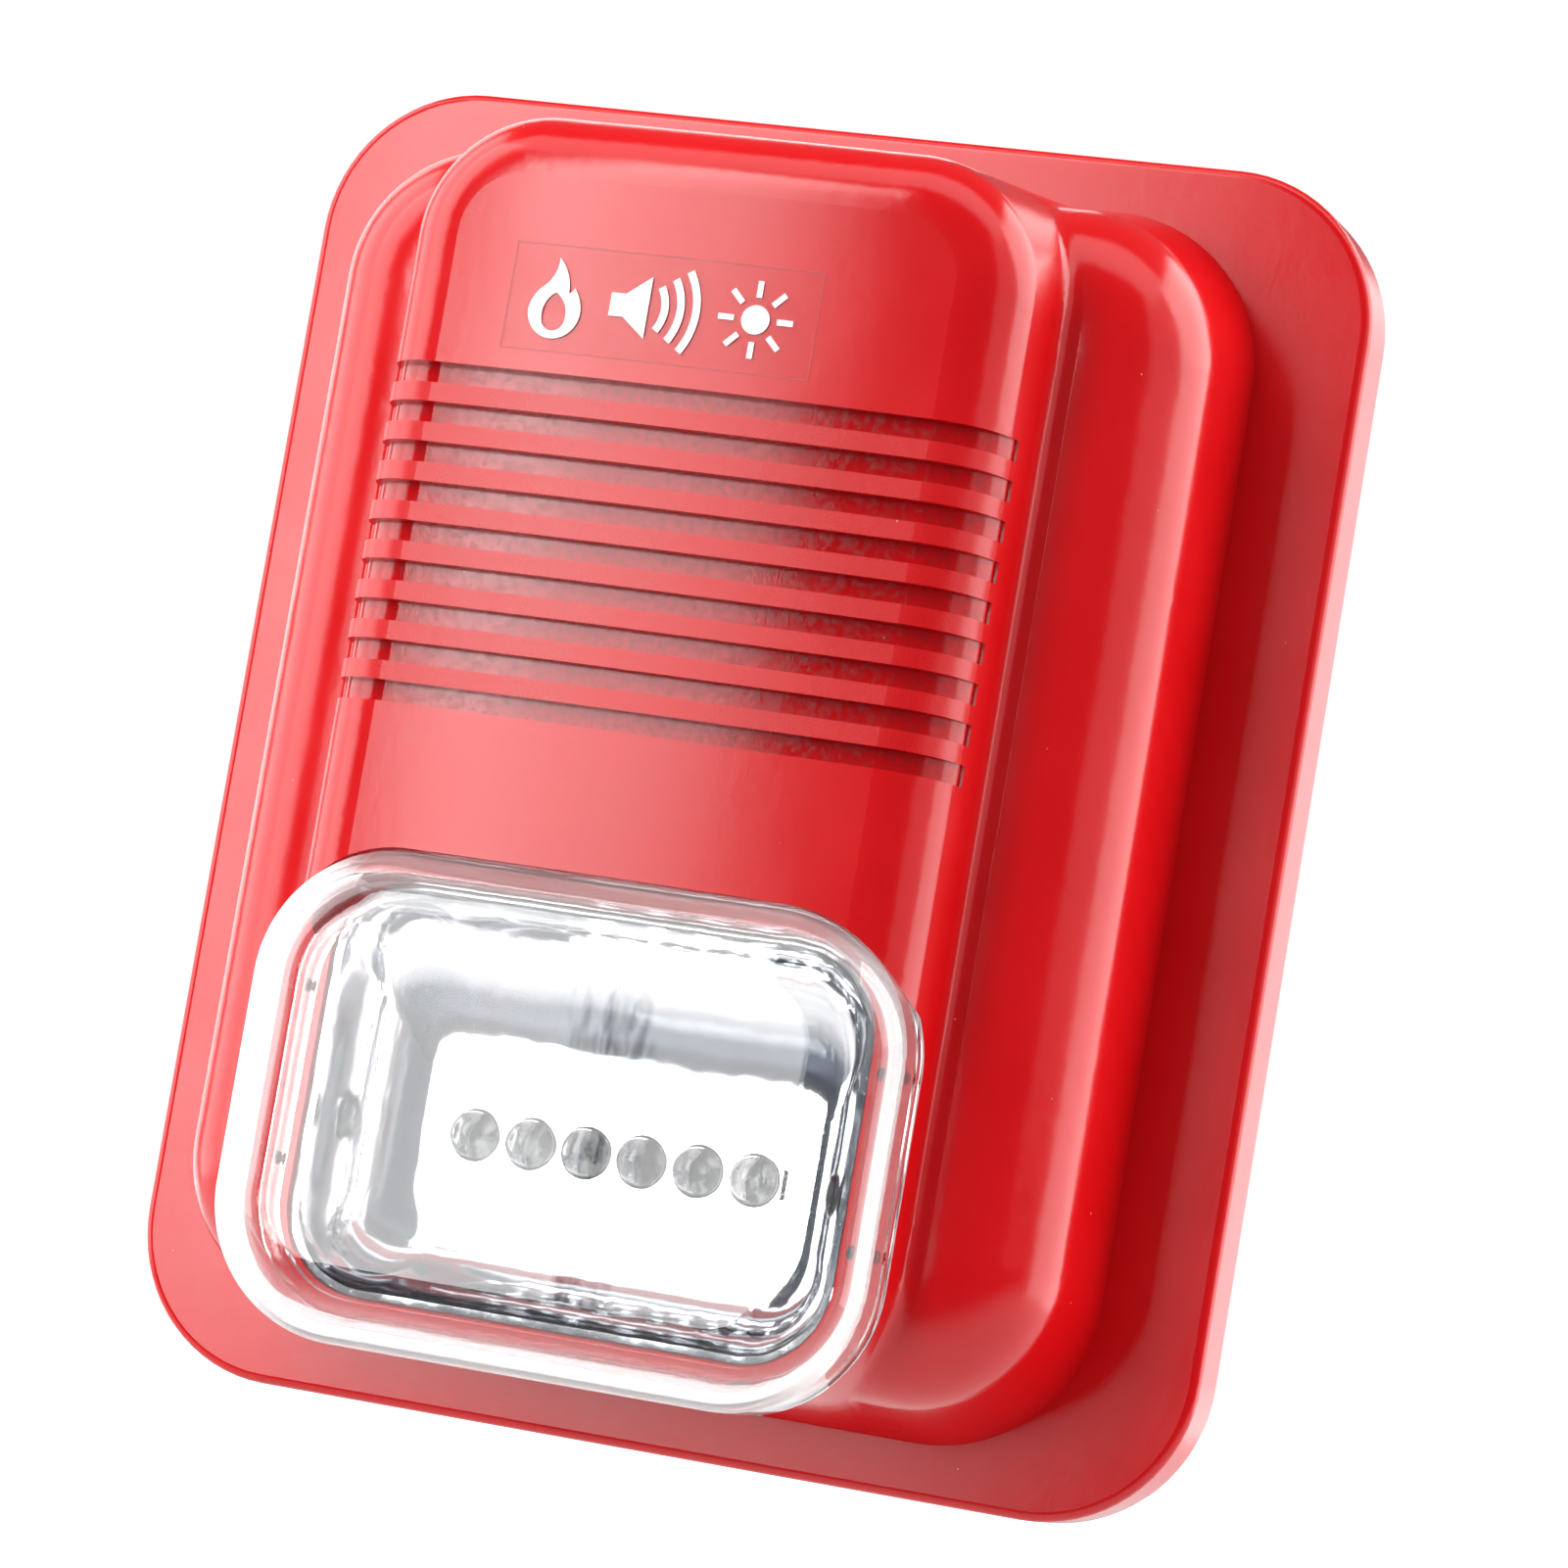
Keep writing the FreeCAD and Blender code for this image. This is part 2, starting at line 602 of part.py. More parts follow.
def add_base_posts(body):
    """Pegs for the cover, posts for both boards and a fence round the terminal block."""
    pegs = front_sketch(body, "floor_thick")
    for x, z in four_ways("peg_side", "peg_up"):
        draw_circle(pegs, "peg_radius", x, z)
    pad(body, pegs, "peg_top-floor_thick")
    stations = [
        ("board_post_side", "board_post_up", "board_middle", "board_back"),
        ("lamp_post_side", "lamp_post_up", "lamp_level", "lamp_board_back"),
    ]
    for side, up, middle, top in stations:
        posts = front_sketch(body, "floor_thick")
        pilots = front_sketch(body, top)
        for x, z in four_ways(side, up):
            draw_circle(posts, "post_radius", x, f"{middle}+{z}")
            draw_circle(pilots, "pilot_radius", x, f"{middle}+{z}")
        pad(body, posts, f"{top}-floor_thick")
        cut(body, pilots, "pilot_deep")
    fence = front_sketch(body, "floor_thick")
    for grow in ("fence_gap", "(fence_gap+fence_wall)"):
        draw_box(fence, f"terminal_width+2*{grow}", f"terminal_tall+2*{grow}", 0, "terminal_level")
    pad(body, fence, "fence_tall")


def cut_base_openings(body):
    """The cable window, two slots for a wall box and four plain wall screw holes."""
    openings = front_sketch(body, "floor_thick")
    draw_box(openings, "cable_width", "cable_tall", 0, "cable_middle", "cable_corner")
    for side in ("-", ""):
        draw_box(openings, "box_slot_long", "2*box_slot_radius", f"{side}box_pitch/2", 0,
                 "box_slot_radius-0.001")
    for x, z in four_ways("wall_hole_side", "wall_hole_up"):
        draw_circle(openings, "wall_hole_radius", x, z)
    cut(body, openings, "floor_thick")


def cover_cavity():
    """The hollow of the front cover, as a solid. Posts and the lens seat are left out of it."""
    body = new_body("cover_cavity")
    tier_solid(body, "cover_wall")
    ridge_solid(body, "cover_wall", "ridge_roof")
    posts = front_sketch(body, 0)
    for x, z in four_ways("peg_side", "peg_up"):
        draw_circle(posts, "socket_radius", x, z)
    cut(body, posts, "ridge_top", forward=True)
    seat = lens_outline(front_sketch(body, "seat_level-ledge_thick"), "seat_gap+ledge_thick")
    cut(body, seat, "ridge_top", forward=True)
    bosses = front_sketch(body, "seat_level-ledge_thick")
    for side in ("-", ""):
        draw_circle(bosses, "ear_radius", f"{side}ear_side", "ear_level")
    cut(body, bosses, "ridge_top", forward=True)
    return body


def groove_tool():
    """What the grooves take away: slabs, less a copy of the ridge pushed in by the groove depth."""
    floor = new_body("groove_floor")
    ridge_solid(floor, 0, 0, "groove_deep")
    body = new_body("groove_tool")
    slab = front_sketch(body, "groove_foot")
    draw_box(slab, "2*groove_half", "groove_tall", 0, "groove_first-groove_tall/2")
    first = pad(body, slab, "ridge_top-groove_foot+groove_tall")
    repeat_along(body, [first], "Z_Axis", "groove_pitch*(groove_count-1)", "groove_count", True)
    combine(body, floor, "Cut")
    return body


def front_cover():
    body = new_body("front_cover")
    tier_solid(body, 0)
    ridge_solid(body, 0, 0)
    fillet(body, "foot_round", lambda edge: is_ridge_foot(body.Tip.Shape, edge))
    combine(body, cover_cavity(), "Cut")
    seat = lens_outline(front_sketch(body, "seat_level"), "seat_gap")
    cut(body, seat, "ridge_top", forward=True)
    window = front_sketch(body, "seat_level")
    grow = "(dish_rim_wall+dish_gap)"
    draw_box(window, f"dish_width+2*{grow}", f"dish_tall+2*{grow}", 0, "dish_middle",
             f"dish_corner+{grow}")
    for x, z in four_ways("stake_side", "stake_apart/2"):
        draw_circle(window, "stake_radius+peg_gap", x, f"dish_middle+{z}")
    cut(body, window, "ledge_thick+seat_gap")
    skirt = front_sketch(body, "skirt_foot-seat_gap")
    draw_box(skirt, "skirt_width+2*seat_gap", "lens_wall+2*seat_gap", 0,
             "lens_middle-lens_tall/2+lens_wall/2")
    cut(body, skirt, "ridge_top", forward=True)
    combine(body, groove_tool(), "Cut")
    tongue = front_sketch(body, "plate_thick-tongue_deep")
    dome_outline(tongue, TONGUE_INSET)
    dome_outline(tongue, f"{TONGUE_INSET}+tongue_thick")
    pad(body, tongue, "tongue_deep+tongue_wider")
    sockets = front_sketch(body, "plate_thick")
    for x, z in four_ways("peg_side", "peg_up"):
        draw_circle(sockets, "peg_radius+peg_gap", x, z)
    cut(body, sockets, "socket_top-plate_thick", forward=True)
    pilots = front_sketch(body, "seat_level-ledge_thick")
    for side in ("-", ""):
        draw_circle(pilots, "pilot_radius", f"{side}ear_side", "ear_level")
    cut(body, pilots, "pilot_deep", forward=True)
    return keep(body)


def is_ridge_foot(shape, edge):
    """True for the concave edge that runs where the ridge rises from the tier."""
    step = 0.02
    faces = shape.ancestorsOfType(edge, Part.Face)
    if len(faces) != 2 or edge.Length < 0.2:
        return False
    middle = edge.valueAt((edge.FirstParameter + edge.LastParameter) / 2)
    normals = [face.normalAt(*face.Surface.parameter(middle)) for face in faces]
    across = normals[0].sub(normals[1])
    if across.Length < 0.05:
        return False
    sides = [middle.add(across.multiply(way * step)) for way in (1, -1)]
    return all(shape.isInside(point, 1e-5, False) for point in sides)


# ---- optical parts -------------------------------------------------------------------------

def strobe_lens():
    body = new_body("strobe_lens")
    rim, front = front_sketch(body, "lens_foot"), number("lens_front")
    pad(body, lens_outline(rim), "lens_front-lens_foot")
    fillet(body, "lens_round", lambda edge: lies_at(edge, front))
    core = new_body("lens_core")
    lens_outline(front_sketch(core, "lens_foot"), "-lens_wall")
    pad(core, core.Group[-1], "lens_front-lens_foot-lens_wall")
    depth = number("lens_front-lens_wall")
    fillet(core, "lens_round-lens_wall", lambda edge: lies_at(edge, depth))
    combine(body, core, "Cut")
    foot = lens_outline(front_sketch(body, "lens_foot"), "-lens_wall/2")
    lens_outline(foot, "-rim_width")
    pad(body, foot, "rim_thick")
    skirt = front_sketch(body, "skirt_foot")
    draw_box(skirt, "skirt_width", "lens_wall", 0, "lens_middle-lens_tall/2+lens_wall/2")
    pad(body, skirt, "lens_foot-skirt_foot+lens_wall")
    stakes = front_sketch(body, "lens_foot")
    for x, z in four_ways("stake_side", "stake_apart/2"):
        draw_circle(stakes, "stake_radius", x, f"dish_middle+{z}")
    pad(body, stakes, "ledge_thick", reverse=True)
    return keep(body)


def dish_sections(body, grow, drop):
    """Rounded rectangles up the reflector's wall, whose profile is a quarter ellipse."""
    sections = []
    for turn_angle in (0, 18, 36, 54, 72, 90):
        rise = 1 - math.cos(math.radians(turn_angle))
        spread = math.sin(math.radians(turn_angle))
        height = f"dish_floor-({drop})+(dish_rim-dish_floor+({drop}))*{rise:.4f}"
        sketch = front_sketch(body, height)
        sections.append(draw_box(
            sketch,
            f"dish_floor_width+(dish_width-dish_floor_width)*{spread:.4f}+2*({grow})",
            f"dish_floor_tall+(dish_tall-dish_floor_tall)*{spread:.4f}+2*({grow})",
            0,
            f"lamp_level+(dish_middle-lamp_level)*{spread:.4f}",
            f"dish_floor_corner+(dish_corner-dish_floor_corner)*{spread:.4f}+({grow})",
        ))
    return sections


def reflector():
    """A bright dish in the lens seat's opening, on a flange that screws up under the seat."""
    body = new_body("reflector")
    loft(body, dish_sections(body, "dish_rim_wall", "dish_skin"), ruled=False)
    flange = front_sketch(body, "seat_level-ledge_thick-seat_gap")
    draw_box(flange, "flange_width", "flange_tall", 0, "flange_top-flange_tall/2", "ear_radius")
    pad(body, flange, "dish_skin", reverse=True)
    loft(body, dish_sections(body, 0, 0), "SubtractiveLoft", ruled=False)
    holes = front_sketch(body, "dish_floor+dish_skin")
    for place in lamp_places():
        draw_circle(holes, "lamp_hole", place, "lamp_level")
    cut(body, holes, "3*dish_skin")
    ears = front_sketch(body, "seat_level")
    for side in ("-", ""):
        draw_circle(ears, "board_hole", f"{side}ear_side", "ear_level")
    cut(body, ears, "2*ledge_thick")
    return keep(body)


def lamp_places():
    count = int(number("lamp_count"))
    return [f"lamp_pitch*({index}-(lamp_count-1)/2)" for index in range(count)]


LAMP_BASE = "(lamp_board_back+board_thick)"
BOARD_FRONT = "(board_back+board_thick)"


def led_lamps():
    body = new_body("led_lamps")
    tip = f"{LAMP_BASE}+lamp_tall"
    lamp = turn(body, [
        (LAMP_BASE, 0),
        (LAMP_BASE, "lamp_flange"),
        (f"{LAMP_BASE}+lamp_flange_thick", "lamp_flange"),
        (f"{LAMP_BASE}+lamp_flange_thick", "lamp_radius"),
        (f"{tip}-lamp_radius", "lamp_radius"),
        (tip, 0, "lamp_radius", 1),
    ], "-lamp_pitch*(lamp_count-1)/2", "lamp_level")
    repeat_along(body, [lamp], "X_Axis", "lamp_pitch*(lamp_count-1)", "lamp_count")
    return keep(body)


def lead_places():
    """Where the lamp leads pass through their board."""
    rows = [f"lamp_level{sign}lead_apart/2" for sign in "-+"]
    return [(x, z) for x in lamp_places() for z in rows]


def led_leads():
    body = new_body("led_leads")
    pins = front_sketch(body, LAMP_BASE)
    for x, z in lead_places():
        draw_box(pins, "lead_size", "lead_size", x, z)
    pad(body, pins, "board_thick+lead_proud", reverse=True)
    return keep(body)


def lamp_board():
    body = new_body("lamp_board")
    outline = front_sketch(body, "lamp_board_back")
    draw_box(outline, "lamp_board_width", "lamp_board_tall", 0, "lamp_level", "board_corner")
    for x, z in four_ways("lamp_post_side", "lamp_post_up"):
        draw_circle(outline, "board_hole", x, f"lamp_level+{z}")
    for x, z in lead_places():
        draw_circle(outline, "lead_hole", x, z)
    pad(body, outline, "board_thick")
    return keep(body)


def screws(name, seat, places, forward=True):
    """Pan-head cross-recess screws: the head sits on a height and its shank goes the other way."""
    body = new_body(name)
    way = "" if forward else "-"
    bulge = 1 if forward else -1
    top = f"{seat}{'+' if forward else '-'}screw_head_thick"
    rim = f"{seat}{'+' if forward else '-'}screw_head_thick/2"
    tip = f"{seat}{'-' if forward else '+'}screw_long"
    neck = f"{seat}{'-' if forward else '+'}(screw_long-screw_radius)"
    recess_floor = f"{top}-{way}1*screw_head_thick/2"
    for x, z in places:
        turn(body, [
            (tip, 0),
            (neck, "screw_radius"),
            (seat, "screw_radius"),
            (seat, "screw_head"),
            (rim, "screw_head"),
            (top, "screw_head-screw_head_thick/2", "screw_head_thick/2", bulge),
            (top, 0),
        ], x, z)
        for size in (("screw_head", "screw_head/4"), ("screw_head/4", "screw_head")):
            recess = front_sketch(body, recess_floor)
            draw_box(recess, *size, x, z)
            cut(body, recess, "screw_head_thick", forward=forward)
    return keep(body)


def all_screws():
    lamp = [(x, f"lamp_level+{z}") for x, z in four_ways("lamp_post_side", "lamp_post_up")]
    main_posts = four_ways("board_post_side", "board_post_up")
    board = [(x, f"board_middle+{z}") for x, z in main_posts]
    ears = [(f"{side}ear_side", "ear_level") for side in ("-", "")]
    screws("lamp_board_screws", LAMP_BASE, lamp)
    screws("board_screws", BOARD_FRONT, board)
    screws("sounder_screws", "board_back", foot_places(), forward=False)
    flange_back = "(seat_level-ledge_thick-seat_gap-dish_skin)"
    screws("reflector_screws", flange_back, ears, forward=False)


# ---- sounder -------------------------------------------------------------------------------

def foot_places():
    """The sounder's three feet, one at the top."""
    angles = [math.radians(angle) for angle in (90, 210, 330)]
    return [
        (f"cup_foot_reach*{math.cos(angle):.6f}", f"cup_middle+cup_foot_reach*{math.sin(angle):.6f}")
        for angle in angles
    ]


def sounder_cup():
    body = new_body("sounder_cup")
    turn(body, [
        ("cup_back", "cup_foot_radius"),
        ("cup_back", "cup_radius"),
        ("cup_front", "cup_radius"),
        ("cup_front", "cup_radius-cup_wall"),
        ("cup_seat", "cup_radius-cup_wall"),
        ("cup_seat", "cup_seat_radius"),
        ("cup_back+cup_floor", "cup_seat_radius"),
        ("cup_back+cup_floor", "cup_foot_radius"),
    ], 0, "cup_middle")
    feet = front_sketch(body, BOARD_FRONT)
    pilots = front_sketch(body, BOARD_FRONT)
    for x, z in foot_places():
        draw_circle(feet, "cup_foot_radius", x, z)
        draw_circle(pilots, "pilot_radius", x, z)
    pad(body, feet, f"cup_back-{BOARD_FRONT}")
    cut(body, pilots, "pilot_deep", forward=True)
    return keep(body)


def sounder_cap():
    body = new_body("sounder_cap")
    clamp = "cup_seat+2*diaphragm_gap+brass_thick"
    neck = "cup_radius-cup_wall-seat_gap"
    turn(body, [
        (clamp, "cup_seat_radius"),
        (clamp, neck),
        ("cup_front+peg_gap", neck),
        ("cup_front+peg_gap", "cup_radius"),
        ("cap_front-cup_wall/2", "cup_radius"),
        ("cap_front", "cup_radius-cup_wall/2"),
        ("cap_front", 0),
        ("cap_front-cup_floor", 0),
        ("cap_front-cup_floor", "cup_seat_radius"),
    ], 0, "cup_middle")
    holes = front_sketch(body, "cap_front")
    draw_circle(holes, "2*cap_hole", 0, "cup_middle")
    count = int(number("cap_hole_count"))
    for index in range(count):
        angle = 2 * math.pi * index / count
        draw_circle(holes, "cap_hole", f"cap_hole_reach*{math.cos(angle):.6f}",
                    f"cup_middle+cap_hole_reach*{math.sin(angle):.6f}")
    cut(body, holes, "2*cup_floor")
    return keep(body)


def disc(name, radius, back, thick, across, along, hole=None):
    body = new_body(name)
    outline = draw_circle(front_sketch(body, back), radius, across, along)
    if hole is not None:
        draw_circle(outline, hole, across, along)
    pad(body, outline, thick)
    return keep(body)


def sounder_discs():
    brass_back = "cup_seat+diaphragm_gap"
    disc("brass_diaphragm", "brass_radius", brass_back, "brass_thick", 0, "cup_middle")
    disc("piezo_disc", "ceramic_radius", f"{brass_back}-brass_thick", "brass_thick", 0, "cup_middle")
    disc("foam_ring", "seal_radius", "cap_front", "seal_front-cap_front", 0, "cup_middle", "seal_hole")


# ---- electronics ---------------------------------------------------------------------------

def main_board():
    body = new_body("main_board")
    outline = front_sketch(body, "board_back")
    draw_box(outline, "board_width", "board_tall", 0, "board_middle", "board_corner")
    for x, z in four_ways("board_post_side", "board_post_up"):
        draw_circle(outline, "board_hole", x, f"board_middle+{z}")
    for x, z in foot_places():
        draw_circle(outline, "board_hole", x, z)
    for x, z in pin_places():
        draw_circle(outline, "lead_hole", x, z)
    pad(body, outline, "board_thick")
    return keep(body)


AXIAL_KINDS = ("resistor", "diode")


def axial_pins(kind, index):
    """The two upright leads of one lying part."""
    across = f"{kind}_side+axial_pitch*{index}"
    return [(across, f"{kind}_level{sign}({kind}_half+pin_reach)") for sign in "-+"]


def paired_pins(kind):
    """The two leads of an upright part."""
    return [(f"{kind}_side{sign}pin_reach", f"{kind}_level") for sign in "-+"]


def transistor_legs():
    return [(f"transistor_side+leg_pitch*({index})", "transistor_level") for index in (-1, 0, 1)]


def pin_places():
    """Where leads pass through the main board."""
    places = paired_pins("capacitor") + paired_pins("coil") + transistor_legs()
    for kind in AXIAL_KINDS:
        for index in range(int(number(f"{kind}_count"))):
            places += axial_pins(kind, index)
    return places


def add_pins(body, places, top):
    """Round leads from a height down through the board."""
    tip = "(board_back-lead_proud)"
    sketch = front_sketch(body, tip)
    for x, z in places:
        draw_circle(sketch, "pin_radius", x, z)
    return pad(body, sketch, f"{top}-{tip}")


def axial_parts(kind):
    """A row of small parts that lie on the board, each on two bent leads."""
    body = new_body(f"{kind}s")
    axis = f"{BOARD_FRONT}+{kind}_radius+lead_size"
    bend = f"({kind}_half+pin_reach+pin_radius+bend_spare)"
    shoulder = f"({kind}_half-{kind}_radius/2)"
    end = [(0, bend), ("bent_radius", bend), ("bent_radius", f"{kind}_half"),
           (f"{kind}_radius", shoulder)]
    outline = [(radius, f"-{rise}") for radius, rise in end] + end[::-1]
    turned = turn_upright(body, outline, f"{kind}_side", axis, f"{kind}_level")
    pins = add_pins(body, axial_pins(kind, 0), axis)
    length = f"axial_pitch*({kind}_count-1)"
    repeat_along(body, [turned, pins], "X_Axis", length, f"{kind}_count")
    return keep(body)


def storage_capacitor():
    """A can with a crimp near its foot and a rolled top edge."""
    body = new_body("storage_capacitor")
    crimp = f"{BOARD_FRONT}+crimp_level"
    top = f"{BOARD_FRONT}+capacitor_tall"
    turn(body, [
        (BOARD_FRONT, 0),
        (BOARD_FRONT, "capacitor_radius"),
        (f"{crimp}-crimp_deep", "capacitor_radius"),
        (crimp, "capacitor_radius-crimp_deep"),
        (f"{crimp}+crimp_deep", "capacitor_radius"),
        (f"{top}-can_round", "capacitor_radius"),
        (top, "capacitor_radius-can_round", "can_round", 1),
        (f"{top}-can_sunk", "capacitor_radius-can_round-can_sunk"),
        (f"{top}-can_sunk", 0),
    ], "capacitor_side", "capacitor_level")
    add_pins(body, paired_pins("capacitor"), BOARD_FRONT)
    return keep(body)


def coil():
    """A ferrite spool and the copper winding on it."""
    core = new_body("coil_core")
    top = f"{BOARD_FRONT}+coil_tall"
    turn(core, [
        (BOARD_FRONT, 0),
        (BOARD_FRONT, "coil_flange"),
        (f"{BOARD_FRONT}+coil_flange_thick", "coil_flange"),
        (f"{BOARD_FRONT}+coil_flange_thick", "coil_neck"),
        (f"{top}-coil_flange_thick", "coil_neck"),
        (f"{top}-coil_flange_thick", "coil_flange"),
        (top, "coil_flange"),
        (top, 0),
    ], "coil_side", "coil_level")
    add_pins(core, paired_pins("coil"), BOARD_FRONT)
    keep(core)
    disc("coil_winding", "winding_radius", f"{BOARD_FRONT}+coil_flange_thick",
         "coil_tall-2*coil_flange_thick", "coil_side", "coil_level", "coil_neck")


def power_transistor():
    """A three-legged body with one flat and one round face."""
    body = new_body("power_transistor")
    left, right = "transistor_side-transistor_half", "transistor_side+transistor_half"
    flat, cheek = "transistor_level-transistor_back", "transistor_level+transistor_cheek"
    outline = front_sketch(body, f"{BOARD_FRONT}+transistor_lift")
    draw(outline, [(left, flat), (right, flat), (right, cheek), (left, cheek, "transistor_bulge", 1)])
    pad(body, outline, "transistor_tall")
    add_pins(body, transistor_legs(), f"{BOARD_FRONT}+transistor_lift")
    return keep(body)


def controller_chip():
    """A flat chip on two rows of bent feet."""
    body = new_body("controller_chip")
    outline = front_sketch(body, f"{BOARD_FRONT}+chip_lift")
    pad(body, draw_box(outline, "chip_width", "chip_tall", 0, "chip_level"), "chip_thick")
    feet = front_sketch(body, BOARD_FRONT)
    shoulders = front_sketch(body, f"{BOARD_FRONT}+chip_lift")
    for index in range(int(number("chip_feet"))):
        across = f"leg_pitch*({index}-(chip_feet-1)/2)"
        draw_box(feet, "foot_width", "feet_tall", across, "chip_level")
        draw_box(shoulders, "foot_width", "shoulder_tall", across, "chip_level")
    pad(body, feet, "chip_lift")
    pad(body, shoulders, "shoulder_thick")
    return keep(body)


def lever_middle(index):
    return f"selector_side+lever_apart*({index}-1/2)"


def selector():
    """A two-lever selector for tone and flash rate."""
    body = new_body("selector_body")
    front = f"{BOARD_FRONT}+selector_thick"
    outline = front_sketch(body, BOARD_FRONT)
    draw_box(outline, "selector_width", "selector_tall", "selector_side", "selector_level")
    pad(body, outline, "selector_thick")
    slots = front_sketch(body, front)
    for index in range(2):
        draw_box(slots, "lever_size+2*lever_room", "lever_size+lever_travel+2*lever_room",
                 lever_middle(index), "selector_level")
    cut(body, slots, "selector_thick/2")
    keep(body)
    for index, name in enumerate(("selector_lever_one", "selector_lever_two")):
        lever = new_body(name)
        block = front_sketch(lever, f"{front}-selector_thick/2+lever_room")
        draw_box(block, "lever_size", "lever_size", lever_middle(index),
                 "selector_level-lever_travel/2")
        pad(lever, block, "selector_thick/2-lever_room+lever_proud")
        keep(lever)


# ---- wiring --------------------------------------------------------------------------------

def terminal_block():
    body = new_body("terminal_block")
    outline = front_sketch(body, "floor_thick")
    draw_box(outline, "terminal_width", "terminal_tall", 0, "terminal_level")
    pad(body, outline, "terminal_front-floor_thick")
    wells, bores = front_sketch(body, "terminal_front"), front_sketch(body, "terminal_front")
    rooms = new_sketch(body, "XY_Plane", "(terminal_level-terminal_tall/2+1.5)")
    slots = new_sketch(body, "XY_Plane", "terminal_level-terminal_tall/2-1")
    room_deep = "(cage_deep+clamp_travel+2*cage_room)"
    for side in ("-", ""):
        draw_circle(wells, "terminal_screw_head+cage_room", f"{side}pole_side", "terminal_level")
        draw_circle(bores, "terminal_screw_radius+peg_gap", f"{side}pole_side", "terminal_level")
        draw_box(rooms, "cage_width+2*cage_room", room_deep, f"{side}pole_side",
                 f"-(cage_back-cage_room+{room_deep}/2)")
        draw_box(slots, "bar_width+2*peg_gap", "bar_thick+2*peg_gap", f"{side}pole_side",
                 "-(bar_back+bar_thick/2)")
    cut(body, wells, "terminal_front-terminal_head_back+cage_room")
    cut(body, bores, "terminal_front-cage_back-cage_deep")
    cut(body, rooms, "terminal_tall", forward=True)
    cut(body, slots, "terminal_tall/2", forward=True)
    return keep(body)


def terminal_pole(side, name):
    """One terminal's clamp and its screw."""
    x = f"{side}pole_side"
    clamp = new_body(f"wire_clamp_{name}")
    outline = new_sketch(clamp, "XY_Plane", "terminal_level-cage_tall/2")
    middle = "-(cage_back+cage_deep/2)"
    draw_box(outline, "cage_width", "cage_deep", x, middle)
    draw_box(outline, "cage_width-2*cage_wall", "cage_deep-2*cage_wall", x, middle)
    pad(clamp, outline, "cage_tall")
    hole = front_sketch(clamp, "cage_back+cage_deep")
    draw_circle(hole, "terminal_screw_radius+peg_gap", x, "terminal_level")
    cut(clamp, hole, "2*cage_wall")
    keep(clamp)
    screw = new_body(f"terminal_screw_{name}")
    head_top = "terminal_head_back+terminal_head_thick"
    turn(screw, [
        ("bar_back+bar_thick+peg_gap", 0),
        ("bar_back+bar_thick+peg_gap", "terminal_screw_radius-cage_room"),
        ("bar_back+bar_thick+2*cage_room", "terminal_screw_radius"),
        ("terminal_head_back", "terminal_screw_radius"),
        ("terminal_head_back", "terminal_screw_head"),
        (f"{head_top}-cage_room", "terminal_screw_head"),
        (head_top, "terminal_screw_head-cage_room"),
        (head_top, 0),
    ], x, "terminal_level")
    slot = front_sketch(screw, f"{head_top}-cage_wall")
    draw_box(slot, "2*terminal_screw_head+1", "cage_wall", x, "terminal_level")
    cut(screw, slot, "2*cage_wall", forward=True)
    keep(screw)


def contact_bars():
    body = new_body("contact_bars")
    outline = new_sketch(body, "XY_Plane", "bar_bottom")
    for side in ("-", ""):
        draw_box(outline, "bar_width", "bar_thick", f"{side}pole_side", "-(bar_back+bar_thick/2)")
    pad(body, outline, "terminal_level+cage_tall/2+cage_wall-bar_bottom")
    return keep(body)


INTO_BOARD = Vector(0, 1, 0)
OFF_BOARD = Vector(0, -1, 0)


def wires(name, paths, leave, radius="wire_radius"):
    """Round wires along smooth paths of (across, up, height) points, which end square on a board."""
    strands = []
    for path in paths:
        points = [Vector(x, -height, z) for x, z, height in path]
        curve = Part.BSplineCurve()
        curve.interpolate(Points=points, InitialTangent=leave, FinalTangent=INTO_BOARD, Scale=False)
        ring = Part.Wire(Part.Circle(points[0], leave, number(radius)).toShape())
        spine = Part.Wire(curve.toShape())
        strands.append(spine.makePipeShell([ring], True, True))
    bundle = DOC.addObject("Part::Feature", name)
    bundle.Label = name
    bundle.Shape = Part.makeCompound(strands)
    bundle.Placement = Placement(Vector(0, 0, 0), Rotation())
    return keep(bundle)


def beside(path, step):
    """The same path moved sideways."""
    return [(x + step, z, height) for x, z, height in path]


def mirrored(path):
    return [(-x, z, height) for x, z, height in path]


